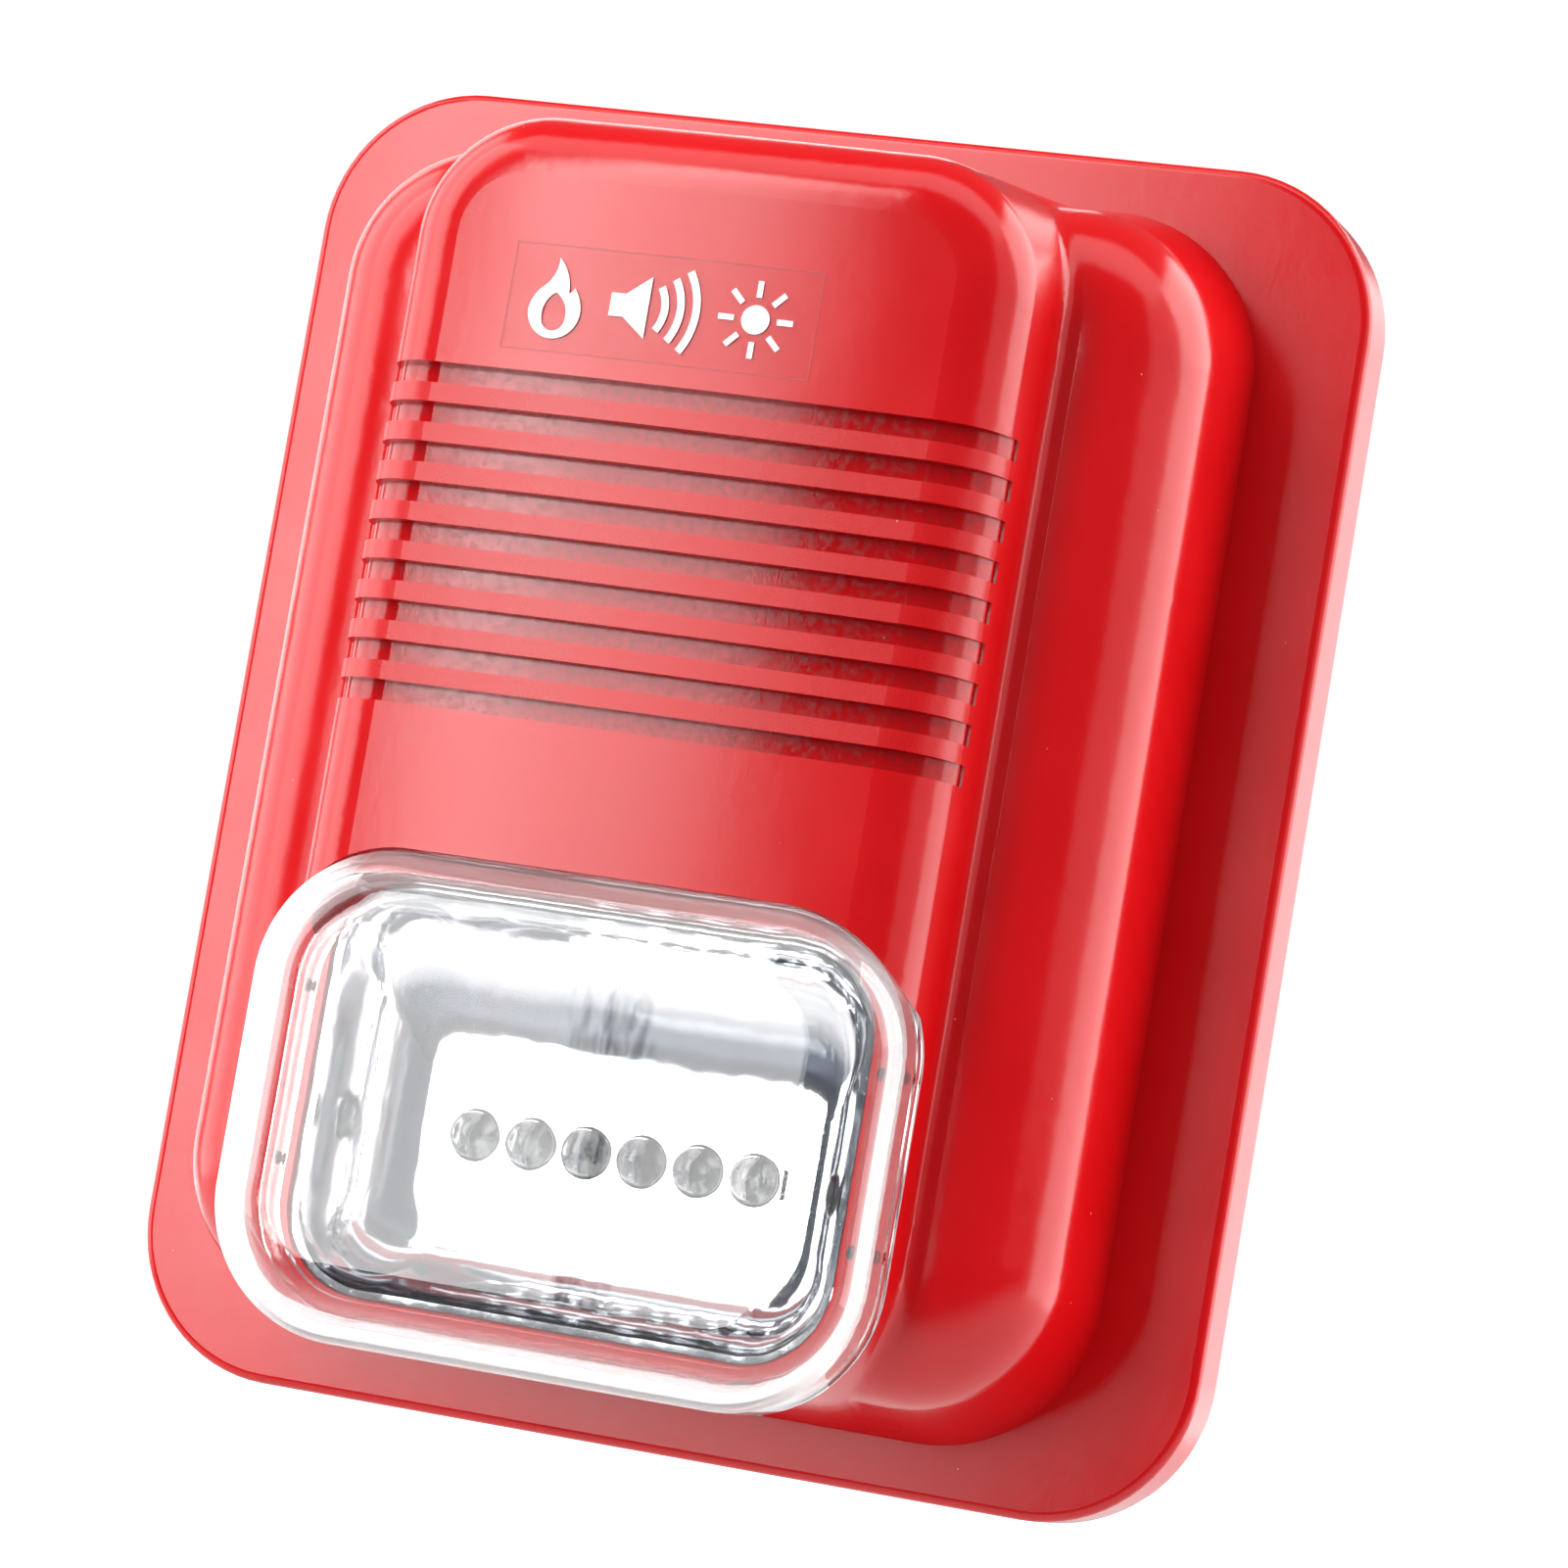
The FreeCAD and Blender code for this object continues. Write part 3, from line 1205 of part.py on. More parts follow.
def all_wires():
    """Supply wires from the terminals, lamp wires and piezo wires, all soldered to the main board."""
    board = number(f"{BOARD_FRONT}+wire_gap")
    lamp_board_front = number(f"{LAMP_BASE}+wire_gap")
    piezo_back = number("cup_seat+diaphragm_gap-brass_thick-2*wire_gap") - number("diaphragm_gap")
    pole, bar_end = number("pole_side"), number("bar_bottom")
    bar_front = number("bar_back+bar_thick+wire_radius") + number("wire_gap")
    supply = [(pole, bar_end + 0.6, bar_front), (pole + 3, bar_end - 2.5, bar_front),
              (14, -25, 6), (20, -10, 5), (21, 0.5, 7), (21, 4, 12), (20.7, 7.5, 12.5), (20.5, 9, board)]
    wires("supply_wire_red", [supply], Vector(0, 0, -1))
    wires("supply_wire_black", [mirrored(supply)], Vector(0, 0, -1))
    lamp = [(-9, 8.5, board), (-9.3, 7, 13), (-12, -6, 17.5), (-14, -22, 21.5),
            (-14, -30.5, 23.6), (-14, -32.5, lamp_board_front)]
    wires("lamp_wires", [lamp, beside(lamp, 2.2)], OFF_BOARD)
    piezo = [(1, 18, piezo_back), (1.2, 17.6, 28), (1.4, 17, 22), (2.2, 15.5, 15), (2.5, 15, board)]
    wires("sounder_wires", [piezo, mirrored(piezo)], INTO_BOARD, "lead_size")


def cable_grommet():
    body = new_body("cable_grommet")
    sizes = ("cable_width", "cable_tall")
    bands = [
        # height, thickness, growth of the outline past the window
        ("seat_gap", "floor_thick", "-peg_gap"),
        ("floor_thick+peg_gap", "grommet_wall-peg_gap", "grommet_lip"),
    ]
    for height, thick, grow in bands:
        ring = front_sketch(body, height)
        for spread in (grow, "-grommet_wall"):
            draw_box(ring, *(f"{size}+2*({spread})" for size in sizes), 0, "cable_middle",
                     f"cable_corner+({spread})")
        pad(body, ring, thick)
    return keep(body)


def lock_screw():
    """A socket set screw in the bottom edge; its tip stops just short of the cover's tongue."""
    body = new_body("lock_screw")
    outer = "plate_tall/2-lock_inset"
    tip = f"(dome_tall/2-({TONGUE_INSET})+2*lock_gap)"
    shank = new_sketch(body, "XY_Plane", f"-({outer})")
    pad(body, draw_circle(shank, "lock_radius", 0, "-lock_height"), f"{outer}-{tip}")
    socket = new_sketch(body, "XY_Plane", f"-({outer})")
    corners = [math.radians(60 * index) for index in range(6)]
    draw(socket, [
        (f"hex_radius*{math.cos(angle):.6f}", f"hex_radius*{math.sin(angle):.6f}-lock_height")
        for angle in corners
    ])
    cut(body, socket, "hex_deep", forward=True)
    return keep(body)


# ---- label ---------------------------------------------------------------------------------

def crown_height(x):
    return f"(ridge_top-crown_radius+sqrt(crown_radius*crown_radius-({x})*({x})))"


def crown_sheet(body, lift, thick):
    """A thin sheet that follows the ridge's crowned face inside the label's outline."""
    left, right = "film_left", "film_right"
    sheet = new_sketch(body, "XY_Plane", "film_bottom")
    low = [f"-({crown_height(x)}+{lift})" for x in (left, right)]
    high = [f"-({crown_height(x)}+{lift}+{thick})" for x in (left, right)]
    draw(sheet, [
        (right, low[1], "crown_radius", 1),
        (right, high[1]),
        (left, high[0], "crown_radius", -1),
        (left, low[0]),
    ])
    pad(body, sheet, "film_top-film_bottom")


def label_film():
    body = new_body("label_film")
    crown_sheet(body, "film_lift", "film_thick")
    return keep(body)


def wave(sketch, x, z, radius, width, half_angle):
    """A band of a ring, open to the right."""
    rise, reach = math.sin(half_angle), math.cos(half_angle)
    outer = radius + width
    draw(sketch, [
        (x + outer * reach, z + outer * rise, outer, 1),
        (x + radius * reach, z + radius * rise),
        (x + radius * reach, z - radius * rise, radius, -1),
        (x + outer * reach, z - outer * rise),
    ])


def label_mark():
    """Three generic signs in a row: a flame, a horn with sound waves, and a flashing lamp."""
    body = new_body("label_mark")
    crown_sheet(body, "(film_thick+2*film_lift)", "print_thick")
    stamp = new_body("label_stamp")
    ink = front_sketch(stamp, "ridge_top-5")
    middle = (number("film_top") + number("film_bottom")) / 2
    draw_flame(ink, -14.6, middle)
    horn = [(-8.6, -1.2), (-7.0, -1.2), (-4.4, -3.2), (-4.4, 3.2), (-7.0, 1.2), (-8.6, 1.2)]
    draw(ink, [(x, middle + z) for x, z in horn])
    for index in range(3):
        wave(ink, -6.6, middle, 3.6 + 1.7 * index, 0.8, math.radians(34))
    draw_flash(ink, 7.2, middle)
    pad(stamp, ink, 10)
    combine(body, stamp, "Common")
    return keep(body)


def draw_flame(ink, x, z):
    """A flame outline with a smaller flame left clear inside it."""
    draw(ink, [
        (x + 2.9, z - 1.3, 2.9, 1),
        (x + 1.9, z + 1.2, 4.2, 1),
        (x + 1.3, z + 0.6, 0.9, -1),
        (x - 0.3, z + 4.2, 4.6, 1),
        (x - 1.5, z + 1.2, 3.4, -1),
        (x - 2.9, z - 1.3, 3.6, 1),
        (x, z - 4.2, 2.9, 1),
    ])
    draw(ink, [(x + 1.3, z - 2.1, 1.3, 1), (x - 0.1, z + 0.6, 2.6, 1), (x - 1.3, z - 2.1, 2.6, 1),
               (x, z - 3.4, 1.3, 1)])


def draw_flash(ink, x, z):
    """A round lamp with eight rays."""
    draw_circle(ink, 1.5, x, z)
    for index in range(8):
        angle = math.radians(45 * index)
        out = Vector(math.cos(angle), math.sin(angle), 0)
        side = Vector(-out.y, out.x, 0)
        corners = [(2.3, -0.3), (4.0, -0.3), (4.0, 0.3), (2.3, 0.3)]
        draw(ink, [(x + out.x * r + side.x * w, z + out.y * r + side.y * w) for r, w in corners])


def main():
    fill_sheet()
    for make in (base_plate, front_cover, strobe_lens, reflector, label_film, label_mark):
        make()
    for make in (led_lamps, led_leads, lamp_board, main_board, all_screws):
        make()
    for make in (sounder_cup, sounder_cap, sounder_discs):
        make()
    for kind in AXIAL_KINDS:
        axial_parts(kind)
    for make in (storage_capacitor, coil, power_transistor, controller_chip, selector):
        make()
    terminal_block()
    terminal_pole("-", "left")
    terminal_pole("", "right")
    for make in (contact_bars, all_wires, cable_grommet, lock_screw):
        make()
    check_and_write()


def check_and_write():
    """Stop on any failed object or bad shape, then write one file for each sub-part."""
    DOC.recompute()
    for thing in DOC.Objects:
        if {"Invalid", "Error"} & set(thing.State):
            raise ValueError(f"{thing.Name} failed: {thing.State}")
    os.makedirs("parts", exist_ok=True)
    for thing in SUBPARTS:
        shape = thing.Shape
        if shape.isNull() or not shape.isValid() or not shape.Solids:
            raise ValueError(f"{thing.Label} has a bad shape")
        shape.exportStep(f"parts/{thing.Label}.step")


main()
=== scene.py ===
"""Looks of a red wall horn strobe: finishes, small visual pieces, light, floor and camera.

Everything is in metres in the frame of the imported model: X to the right, Z up, and the wall at y = 0, so the
front of the device faces -Y.
"""
import math

import bmesh
import bpy
from mathutils import Matrix, Vector


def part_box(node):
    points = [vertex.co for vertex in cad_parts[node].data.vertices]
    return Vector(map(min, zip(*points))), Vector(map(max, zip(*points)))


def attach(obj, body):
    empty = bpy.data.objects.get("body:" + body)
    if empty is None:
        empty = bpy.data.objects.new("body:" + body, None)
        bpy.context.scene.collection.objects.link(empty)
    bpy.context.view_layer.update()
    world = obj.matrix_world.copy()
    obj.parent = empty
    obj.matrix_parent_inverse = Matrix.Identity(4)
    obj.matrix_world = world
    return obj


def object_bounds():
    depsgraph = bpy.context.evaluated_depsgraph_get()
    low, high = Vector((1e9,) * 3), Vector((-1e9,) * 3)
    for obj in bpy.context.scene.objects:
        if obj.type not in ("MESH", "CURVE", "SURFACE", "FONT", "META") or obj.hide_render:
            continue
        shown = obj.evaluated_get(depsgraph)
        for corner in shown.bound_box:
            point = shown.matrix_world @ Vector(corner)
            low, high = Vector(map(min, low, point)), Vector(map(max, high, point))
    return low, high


MM = 0.001

# The camera looks at the middle of the base plate from below and from the right, rolled a little. Angles are
# in degrees, and the lens and the sensor in millimetres.
VIEW_AZIMUTH = 19.15
VIEW_ELEVATION = -4.99
VIEW_ROLL = 9.66
VIEW_DISTANCE = 0.635
VIEW_SHIFT = (0.0021, 0.00097)
LENS_LENGTH = 134.9
SENSOR_WIDTH = 36
NEAREST_SEEN = 0.05

# The floor lies this far below the object. Mirrored in the object, it goes dark over these values of y.
FLOOR_DROP = 0.13
FLOOR_SIZE = 12
FLOOR_DARK_AT = -0.34
FLOOR_PALE_AT = -0.14

# What surrounds the object: the room in reflections, and the even light that diffuse rays find.
FRONT_ROOM = (0.045, 0.055, 0.075)
REAR_ROOM = (0.16, 0.16, 0.16)
AMBIENT = (0.70, 0.70, 0.72)
ROOM_DARK_AT = -0.15
ROOM_PALE_AT = 0.25
WHITE = (1, 1, 1)

# The sounder grooves as the red finish sees them. Their smooth floors stop a little short of their ends, and
# no groove goes nearer to the wall than GROOVE_FOOT.
GROOVE_HALF_LENGTH = 33.8 * MM
GROOVE_TOP = 35.24 * MM
GROOVE_PITCH = 4.16 * MM
GROOVE_OPENING = 2.2 * MM
GROOVE_COUNT = 9
GROOVE_FOOT = 37.4 * MM
SHARP_EDGE = 0.01 * MM

RED = (0.55, 0.0030, 0.0050)
DEEP_RED = (0.51, 0.0022, 0.0036)
# Painted shade for the floors of the sounder grooves.
GROOVE_PAINTED_SHADE_RED = (0.32, 0.0018, 0.0030)
DUSTY_RED = (0.85, 0.55, 0.52)

# How strong the painted white reflection on the lens is where it faces left, and where it faces up or down.
LEFT_PAINTED_REFLECTION = 0.80
LEVEL_PAINTED_REFLECTION = 0.10

# How much of the sticker's gloss shows along its cut edge, and over its middle.
FILM_EDGE_SHARE = 0.30
FILM_MIDDLE_SHARE = 0.02

# The lamps, from the back of the epoxy forwards. A lamp's two legs stand either side of its middle.
LAMP_COUNT = 6
LEG_HALF_HEIGHT = 0.25 * MM
WIDE_LEG_LEFT = -1.2 * MM
WIDE_LEG_RIGHT = 0.45 * MM
WIDE_LEG_LENGTH = 2.9 * MM
SLIM_LEG_LEFT = 0.85 * MM
SLIM_LEG_RIGHT = 1.35 * MM
SLIM_LEG_LENGTH = 3.9 * MM
CUP_ASIDE = -0.3 * MM
CUP_FRONT = 4.2 * MM
TURNED_STEPS = 24


# ---------------------------------------------------------------------------------------------------------
# Shader helpers
# ---------------------------------------------------------------------------------------------------------
class Shading:
    """A node tree under construction. Most calls add one node and give back its output socket."""

    def __init__(self, owner):
        owner.use_nodes = True
        self.tree = owner.node_tree
        self.tree.nodes.clear()

    def add(self, kind, **settings):
        node = self.tree.nodes.new(kind)
        for key, value in settings.items():
            setattr(node, key, value)
        return node

    def feed(self, socket, value):
        """Links value into socket if value is a socket, and otherwise sets it."""
        if isinstance(value, bpy.types.NodeSocket):
            self.tree.links.new(value, socket)
        elif isinstance(value, tuple) and len(value) == 3 and socket.type == "RGBA":
            socket.default_value = (*value, 1)
        else:
            socket.default_value = value

    def maths(self, operation, first, second=0.0, third=0.0):
        node = self.add("ShaderNodeMath", operation=operation)
        for socket, value in zip(node.inputs, (first, second, third)):
            self.feed(socket, value)
        return node.outputs[0]

    def split(self, vector):
        """The outputs X, Y and Z of a vector."""
        node = self.add("ShaderNodeSeparateXYZ")
        self.feed(node.inputs[0], vector)
        return node.outputs

    def spread(self, value, low, high, to_low=0.0, to_high=1.0):
        """Maps low..high of value to to_low..to_high, without going past either end."""
        node = self.add("ShaderNodeMapRange", clamp=True)
        for socket, number in zip(node.inputs, (value, low, high, to_low, to_high)):
            self.feed(socket, number)
        return node.outputs[0]

    def between(self, share, first, second):
        """A number that goes from first to second as share goes from 0 to 1."""
        node = self.add("ShaderNodeMix", data_type="FLOAT")
        for socket, value in zip((node.inputs[0], node.inputs[2], node.inputs[3]), (share, first, second)):
            self.feed(socket, value)
        return node.outputs[0]

    def blend(self, share, first, second):
        """A colour that goes from first to second as share goes from 0 to 1."""
        node = self.add("ShaderNodeMix", data_type="RGBA")
        for socket, value in zip((node.inputs[0], node.inputs[6], node.inputs[7]), (share, first, second)):
            self.feed(socket, value)
        return node.outputs[2]


class Finish(Shading):
    """A material under construction."""

    def __init__(self, name):
        self.material = bpy.data.materials.new(name)
        super().__init__(self.material)
        self.place = self.add("ShaderNodeTexCoord").outputs["Object"]
        self.axes = self.split(self.place)

    def axis(self, letter):
        """One coordinate of the surface point, in metres."""
        return self.axes[letter]

    def noise(self, size, detail=2.0, roughness=0.5, place=None):
        """Cloudy noise from 0 to 1 whose features are about size metres across."""
        node = self.add("ShaderNodeTexNoise")
        self.feed(node.inputs["Vector"], place or self.place)
        node.inputs["Scale"].default_value = 1 / size
        node.inputs["Detail"].default_value = detail
        node.inputs["Roughness"].default_value = roughness
        return node.outputs["Fac"]

    def cells(self, size):
        """Distance to the nearest of many scattered points, in units of the size metres between them."""
        node = self.add("ShaderNodeTexVoronoi")
        self.feed(node.inputs["Vector"], self.place)
        node.inputs["Scale"].default_value = 1 / size
        return node.outputs["Distance"]

    def stretched(self, x, y, z):
        """The surface point with each coordinate multiplied, for grain that runs one way."""
        node = self.add("ShaderNodeMapping")
        self.feed(node.inputs["Vector"], self.place)
        node.inputs["Scale"].default_value = (x, y, z)
        return node.outputs["Vector"]

    def bump(self, height, depth, under=None):
        """Relief depth metres deep, following height, on top of an earlier relief if one is given."""
        node = self.add("ShaderNodeBump")
        self.feed(node.inputs["Height"], height)
        node.inputs["Distance"].default_value = depth
        if under:
            self.feed(node.inputs["Normal"], under)
        return node.outputs[0]

    def shade(self, colour, roughness, relief=None, **more):
        """The main shader. More inputs are given by name, with _ for a space."""
        node = self.add("ShaderNodeBsdfPrincipled")
        self.feed(node.inputs["Base Color"], colour)
        self.feed(node.inputs["Roughness"], roughness)
        if relief:
            self.feed(node.inputs["Normal"], relief)
        for key, value in more.items():
            self.feed(node.inputs[key.replace("_", " ")], value)
        return node.outputs[0]

    def mix(self, share, first, second):
        """A surface that goes from the shader first to the shader second as share goes from 0 to 1."""
        node = self.add("ShaderNodeMixShader")
        for socket, value in zip(node.inputs, (share, first, second)):
            self.feed(socket, value)
        return node.outputs[0]

    def let_light_through(self, shader, tint):
        """Shadow and diffuse rays pass straight through, so that what is behind clear plastic is lit."""
        rays = self.add("ShaderNodeLightPath")
        clear = self.add("ShaderNodeBsdfTransparent")
        self.feed(clear.inputs[0], tint)
        passing = self.maths("MAXIMUM", rays.outputs["Is Shadow Ray"], rays.outputs["Is Diffuse Ray"])
        return self.mix(passing, shader, clear.outputs[0])

    def done(self, shader):
        output = self.add("ShaderNodeOutputMaterial")
        self.feed(output.inputs["Surface"], shader)
        return self.material


# ---------------------------------------------------------------------------------------------------------
# Finishes
# ---------------------------------------------------------------------------------------------------------
def inside(finish, value, low, high, edge):
    """1 between low and high, fading to 0 over edge on both sides."""
    rising = finish.spread(value, low - edge, low)
    falling = finish.spread(value, high, high + edge, 1.0, 0.0)
    return finish.maths("MULTIPLY", rising, falling)


def groove_masks(finish):
    """Two masks: 1 on the floors of the sounder grooves, and 1 on the lands between them."""
    below = finish.maths("SUBTRACT", GROOVE_TOP, finish.axis("Z"))
    lane = finish.maths("FRACT", finish.maths("DIVIDE", below, GROOVE_PITCH))
    opening = finish.maths("LESS_THAN", lane, GROOVE_OPENING / GROOVE_PITCH)
    last = (GROOVE_COUNT - 1) * GROOVE_PITCH + GROOVE_OPENING
    along = inside(finish, below, 0, last, SHARP_EDGE)
    across = inside(finish, finish.axis("X"), -GROOVE_HALF_LENGTH, GROOVE_HALF_LENGTH, SHARP_EDGE)
    front = finish.maths("LESS_THAN", finish.axis("Y"), -GROOVE_FOOT)
    field = finish.maths("MULTIPLY", front, finish.maths("MULTIPLY", along, across))
    floors = finish.maths("MULTIPLY", opening, field)
    return floors, finish.maths("SUBTRACT", field, floors)


def red_housing():
    """Satin moulded plastic. The floors of the grooves are smoother than the grained faces around them, and
    darkened by painted shade in speckled patches.
    """
    finish = Finish("red_housing_plastic")
    floor, land = groove_masks(finish)
    clouds = finish.noise(14 * MM, 3.0)
    grain = finish.noise(0.24 * MM, 3.0, 0.6)
    orange_peel = finish.noise(1.6 * MM, 2.0)
    speckle = finish.spread(finish.noise(0.8 * MM, 4.0, 0.7), 0.42, 0.62)
    dust = finish.spread(finish.cells(3.4 * MM), 0.020, 0.034, 1.0, 0.0)
    dust = finish.maths("MULTIPLY", dust, finish.spread(finish.noise(9 * MM), 0.52, 0.62))
    colour = finish.blend(finish.spread(clouds, 0.3, 0.7), DEEP_RED, RED)
    # Painted shade on the groove floors, stronger in speckled patches.
    floor_painted_shade = finish.spread(speckle, 0.0, 1.0, 0.10, 0.75)
    colour = finish.blend(finish.maths("MULTIPLY", floor, floor_painted_shade), colour, GROOVE_PAINTED_SHADE_RED)
    colour = finish.blend(finish.maths("MULTIPLY", dust, 0.55), colour, DUSTY_RED)
    matt = finish.spread(clouds, 0.3, 0.7, 0.13, 0.17)
    matt = finish.maths("MULTIPLY_ADD", grain, 0.06, matt)
    matt = finish.maths("MULTIPLY_ADD", land, 0.10, matt)
    smooth = finish.spread(speckle, 0.0, 1.0, 0.07, 0.20)
    roughness = finish.between(floor, matt, smooth)
    relief = finish.bump(grain, 0.007 * MM)
    relief = finish.bump(orange_peel, 0.010 * MM, relief)
    return finish.done(finish.shade(colour, roughness, relief))


def clear_lens():
    """Clear polycarbonate: clear over the front, with a painted white reflection where it faces left, up or
    down, and a faint haze where scuffed.
    """
    finish = Finish("clear_lens_polycarbonate")
    flow = finish.noise(5 * MM, 2.0, 0.5, finish.stretched(1, 1, 0.35))
    scuffs = finish.spread(finish.noise(0.5 * MM, 4.0, 0.7), 0.60, 0.75)
    roughness = finish.maths("MULTIPLY_ADD", scuffs, 0.06, 0.03)
    relief = finish.bump(flow, 0.03 * MM)
    glass = finish.shade((0.985, 0.99, 0.99), roughness, relief, Transmission_Weight=1.0, IOR=1.49)
    normal = finish.split(finish.add("ShaderNodeNewGeometry").outputs["True Normal"])
    leftwards = finish.spread(normal["X"], -0.2, -0.8, 0.0, LEFT_PAINTED_REFLECTION)
    level = finish.spread(finish.maths("ABSOLUTE", normal["Z"]), 0.3, 0.9, 0.0, LEVEL_PAINTED_REFLECTION)
    share = finish.maths("MAXIMUM", leftwards, level)
    share = finish.maths("MULTIPLY_ADD", scuffs, 0.03, share)
    # A rough white layer: painted reflection on the walls facing left, up or down, plus a faint real haze on
    # the scuffs.
    painted_reflection = finish.shade((0.88, 0.88, 0.87), 0.5, relief)
    body = finish.mix(share, glass, painted_reflection)
    return finish.done(finish.let_light_through(body, (0.95, 0.95, 0.95)))


def mirror_dish():
    """Vacuum metallised plastic: nearly a mirror, with dust specks and a soft orange peel."""
    finish = Finish("mirror_dish_chrome")
    peel = finish.noise(7 * MM, 2.0)
    fine = finish.noise(0.9 * MM, 3.0, 0.6)
    dust = finish.spread(finish.cells(0.7 * MM), 0.05, 0.16, 1.0, 0.0)
    dust = finish.maths("MULTIPLY", dust, finish.spread(finish.noise(6 * MM), 0.36, 0.60))
    colour = finish.blend(finish.maths("MULTIPLY", dust, 0.45), (0.90, 0.91, 0.93), (0.62, 0.63, 0.65))
    roughness = finish.maths("MULTIPLY_ADD", fine, 0.06, 0.05)
    roughness = finish.maths("MULTIPLY_ADD", dust, 0.35, roughness)
    relief = finish.bump(peel, 0.10 * MM)
    relief = finish.bump(fine, 0.004 * MM, relief)
    return finish.done(finish.shade(colour, roughness, relief, Metallic=1.0))


def clear_epoxy():
    """Cast epoxy of the lamps, with swirls frozen into it."""
    finish = Finish("clear_epoxy_cast")
    swirl = finish.noise(1.4 * MM, 2.0)
    roughness = finish.spread(swirl, 0.3, 0.7, 0.01, 0.04)
    relief = finish.bump(swirl, 0.02 * MM)
    glass = finish.shade((0.92, 0.93, 0.94), roughness, relief, Transmission_Weight=1.0, IOR=1.53)
    return finish.done(finish.let_light_through(glass, (0.86, 0.86, 0.86)))


def clear_film():
    """Thin clear sticker film: seen by its gloss, and by the light caught along its cut edge."""
    finish = Finish("clear_film_sticker")
    low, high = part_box("label_film")
    wave = finish.noise(6 * MM, 2.0)
    relief = finish.bump(wave, 0.03 * MM)
    gloss = finish.shade((0.62, 0.16, 0.16), finish.spread(wave, 0.3, 0.7, 0.24, 0.32), relief)
    clear = finish.add("ShaderNodeBsdfTransparent").outputs[0]
    rim = 0.12 * MM
    across = inside(finish, finish.axis("X"), low.x + rim, high.x - rim, 0.05 * MM)
    along = inside(finish, finish.axis("Z"), low.z + rim, high.z - rim, 0.05 * MM)
    middle = finish.maths("MULTIPLY", across, along)
    share = finish.between(middle, FILM_EDGE_SHARE, FILM_MIDDLE_SHARE)
    return finish.done(finish.mix(share, clear, gloss))


def plain(name, colour, other, roughness, depth=0.01 * MM):
    """A moulded or cast finish: two close tones in clouds, and a fine grain that also varies the gloss."""
    finish = Finish(name)
    clouds = finish.noise(4 * MM, 3.0)
    fine = finish.noise(0.3 * MM, 3.0, 0.6)
    tone = finish.blend(finish.spread(clouds, 0.3, 0.7), colour, other)
    rough = finish.maths("MULTIPLY_ADD", fine, 0.12, roughness - 0.06)
    return finish.done(finish.shade(tone, rough, finish.bump(fine, depth)))


def circuit_board(name):
    """Green solder mask with copper tracks showing through as paler raised lines."""
    finish = Finish(name)
    lanes = finish.maths("FRACT", finish.maths("DIVIDE", finish.axis("X"), 3.4 * MM))
    wiggle = finish.maths("MULTIPLY", finish.noise(9 * MM, 1.0), 0.2)
    track = inside(finish, finish.maths("ADD", lanes, wiggle), 0.45, 0.62, 0.03)
    rows = finish.maths("FRACT", finish.maths("DIVIDE", finish.axis("Z"), 5.2 * MM))
    cross = inside(finish, rows, 0.48, 0.60, 0.03)
    gate = finish.spread(finish.noise(11 * MM, 1.0), 0.47, 0.50)
    copper = finish.maths("MULTIPLY", finish.maths("MAXIMUM", track, cross), gate)
    weave = finish.noise(0.5 * MM, 2.0)
    colour = finish.blend(copper, (0.006, 0.085, 0.030), (0.020, 0.190, 0.070))
    relief = finish.bump(copper, 0.04 * MM)
    relief = finish.bump(weave, 0.006 * MM, relief)
    return finish.done(finish.shade(colour, finish.spread(weave, 0.3, 0.7, 0.22, 0.38), relief))


def banded(name, body, bands, centre):
    """A small upright part with painted rings. Each band is (height from the centre, width, colour)."""
    finish = Finish(name)
    away = finish.maths("SUBTRACT", finish.axis("Z"), centre)
    grain = finish.noise(0.3 * MM, 3.0)
    shaded = tuple(0.85 * part for part in body)
    colour = finish.blend(finish.spread(finish.noise(1.5 * MM), 0.3, 0.7), body, shaded)
    for place, width, paint in bands:
        ring = inside(finish, away, place - width / 2, place + width / 2, 0.04 * MM)
        colour = finish.blend(ring, colour, paint)
    relief = finish.bump(grain, 0.008 * MM)
    return finish.done(finish.shade(colour, finish.spread(grain, 0.3, 0.7, 0.28, 0.42), relief))


def brushed(name, colour, roughness, run=(1, 12, 1)):
    """Bare metal with fine lines along one direction."""
    finish = Finish(name)
    lines = finish.noise(0.6 * MM, 3.0, 0.6, finish.stretched(*run))
    stains = finish.noise(3 * MM, 3.0)
    stained = tuple(0.72 * part for part in colour)
    tone = finish.blend(finish.spread(stains, 0.35, 0.7), colour, stained)
    rough = finish.maths("MULTIPLY_ADD", lines, 0.18, roughness - 0.09)
    return finish.done(finish.shade(tone, rough, finish.bump(lines, 0.008 * MM), Metallic=1.0))


def wound_wire():
    """Turns of enamelled copper wire laid side by side."""
    finish = Finish("copper_wire_turns")
    half_turn = 0.16 * MM
    turn = finish.maths("PINGPONG", finish.axis("Y"), half_turn)
    height = finish.maths("SQRT", finish.spread(turn, 0.0, half_turn))
    stains = finish.noise(1.5 * MM, 2.0)
    colour = finish.blend(finish.spread(stains, 0.3, 0.7), (0.72, 0.22, 0.06), (0.45, 0.11, 0.03))
    relief = finish.bump(height, 0.12 * MM)
    roughness = finish.between(height, 0.5, 0.25)
    return finish.done(finish.shade(colour, roughness, relief, Metallic=0.9))


def foam():
    """Open-cell sealing foam, with painted shade in its pores."""
    finish = Finish("grey_foam_cells")
    pores = finish.spread(finish.cells(0.55 * MM), 0.15, 0.55)
    # Painted shade: the colour darkens where each pore sinks.
    colour = finish.blend(pores, (0.020, 0.020, 0.022), (0.11, 0.11, 0.12))
    relief = finish.bump(pores, 0.30 * MM)
    return finish.done(finish.shade(colour, 0.9, relief))


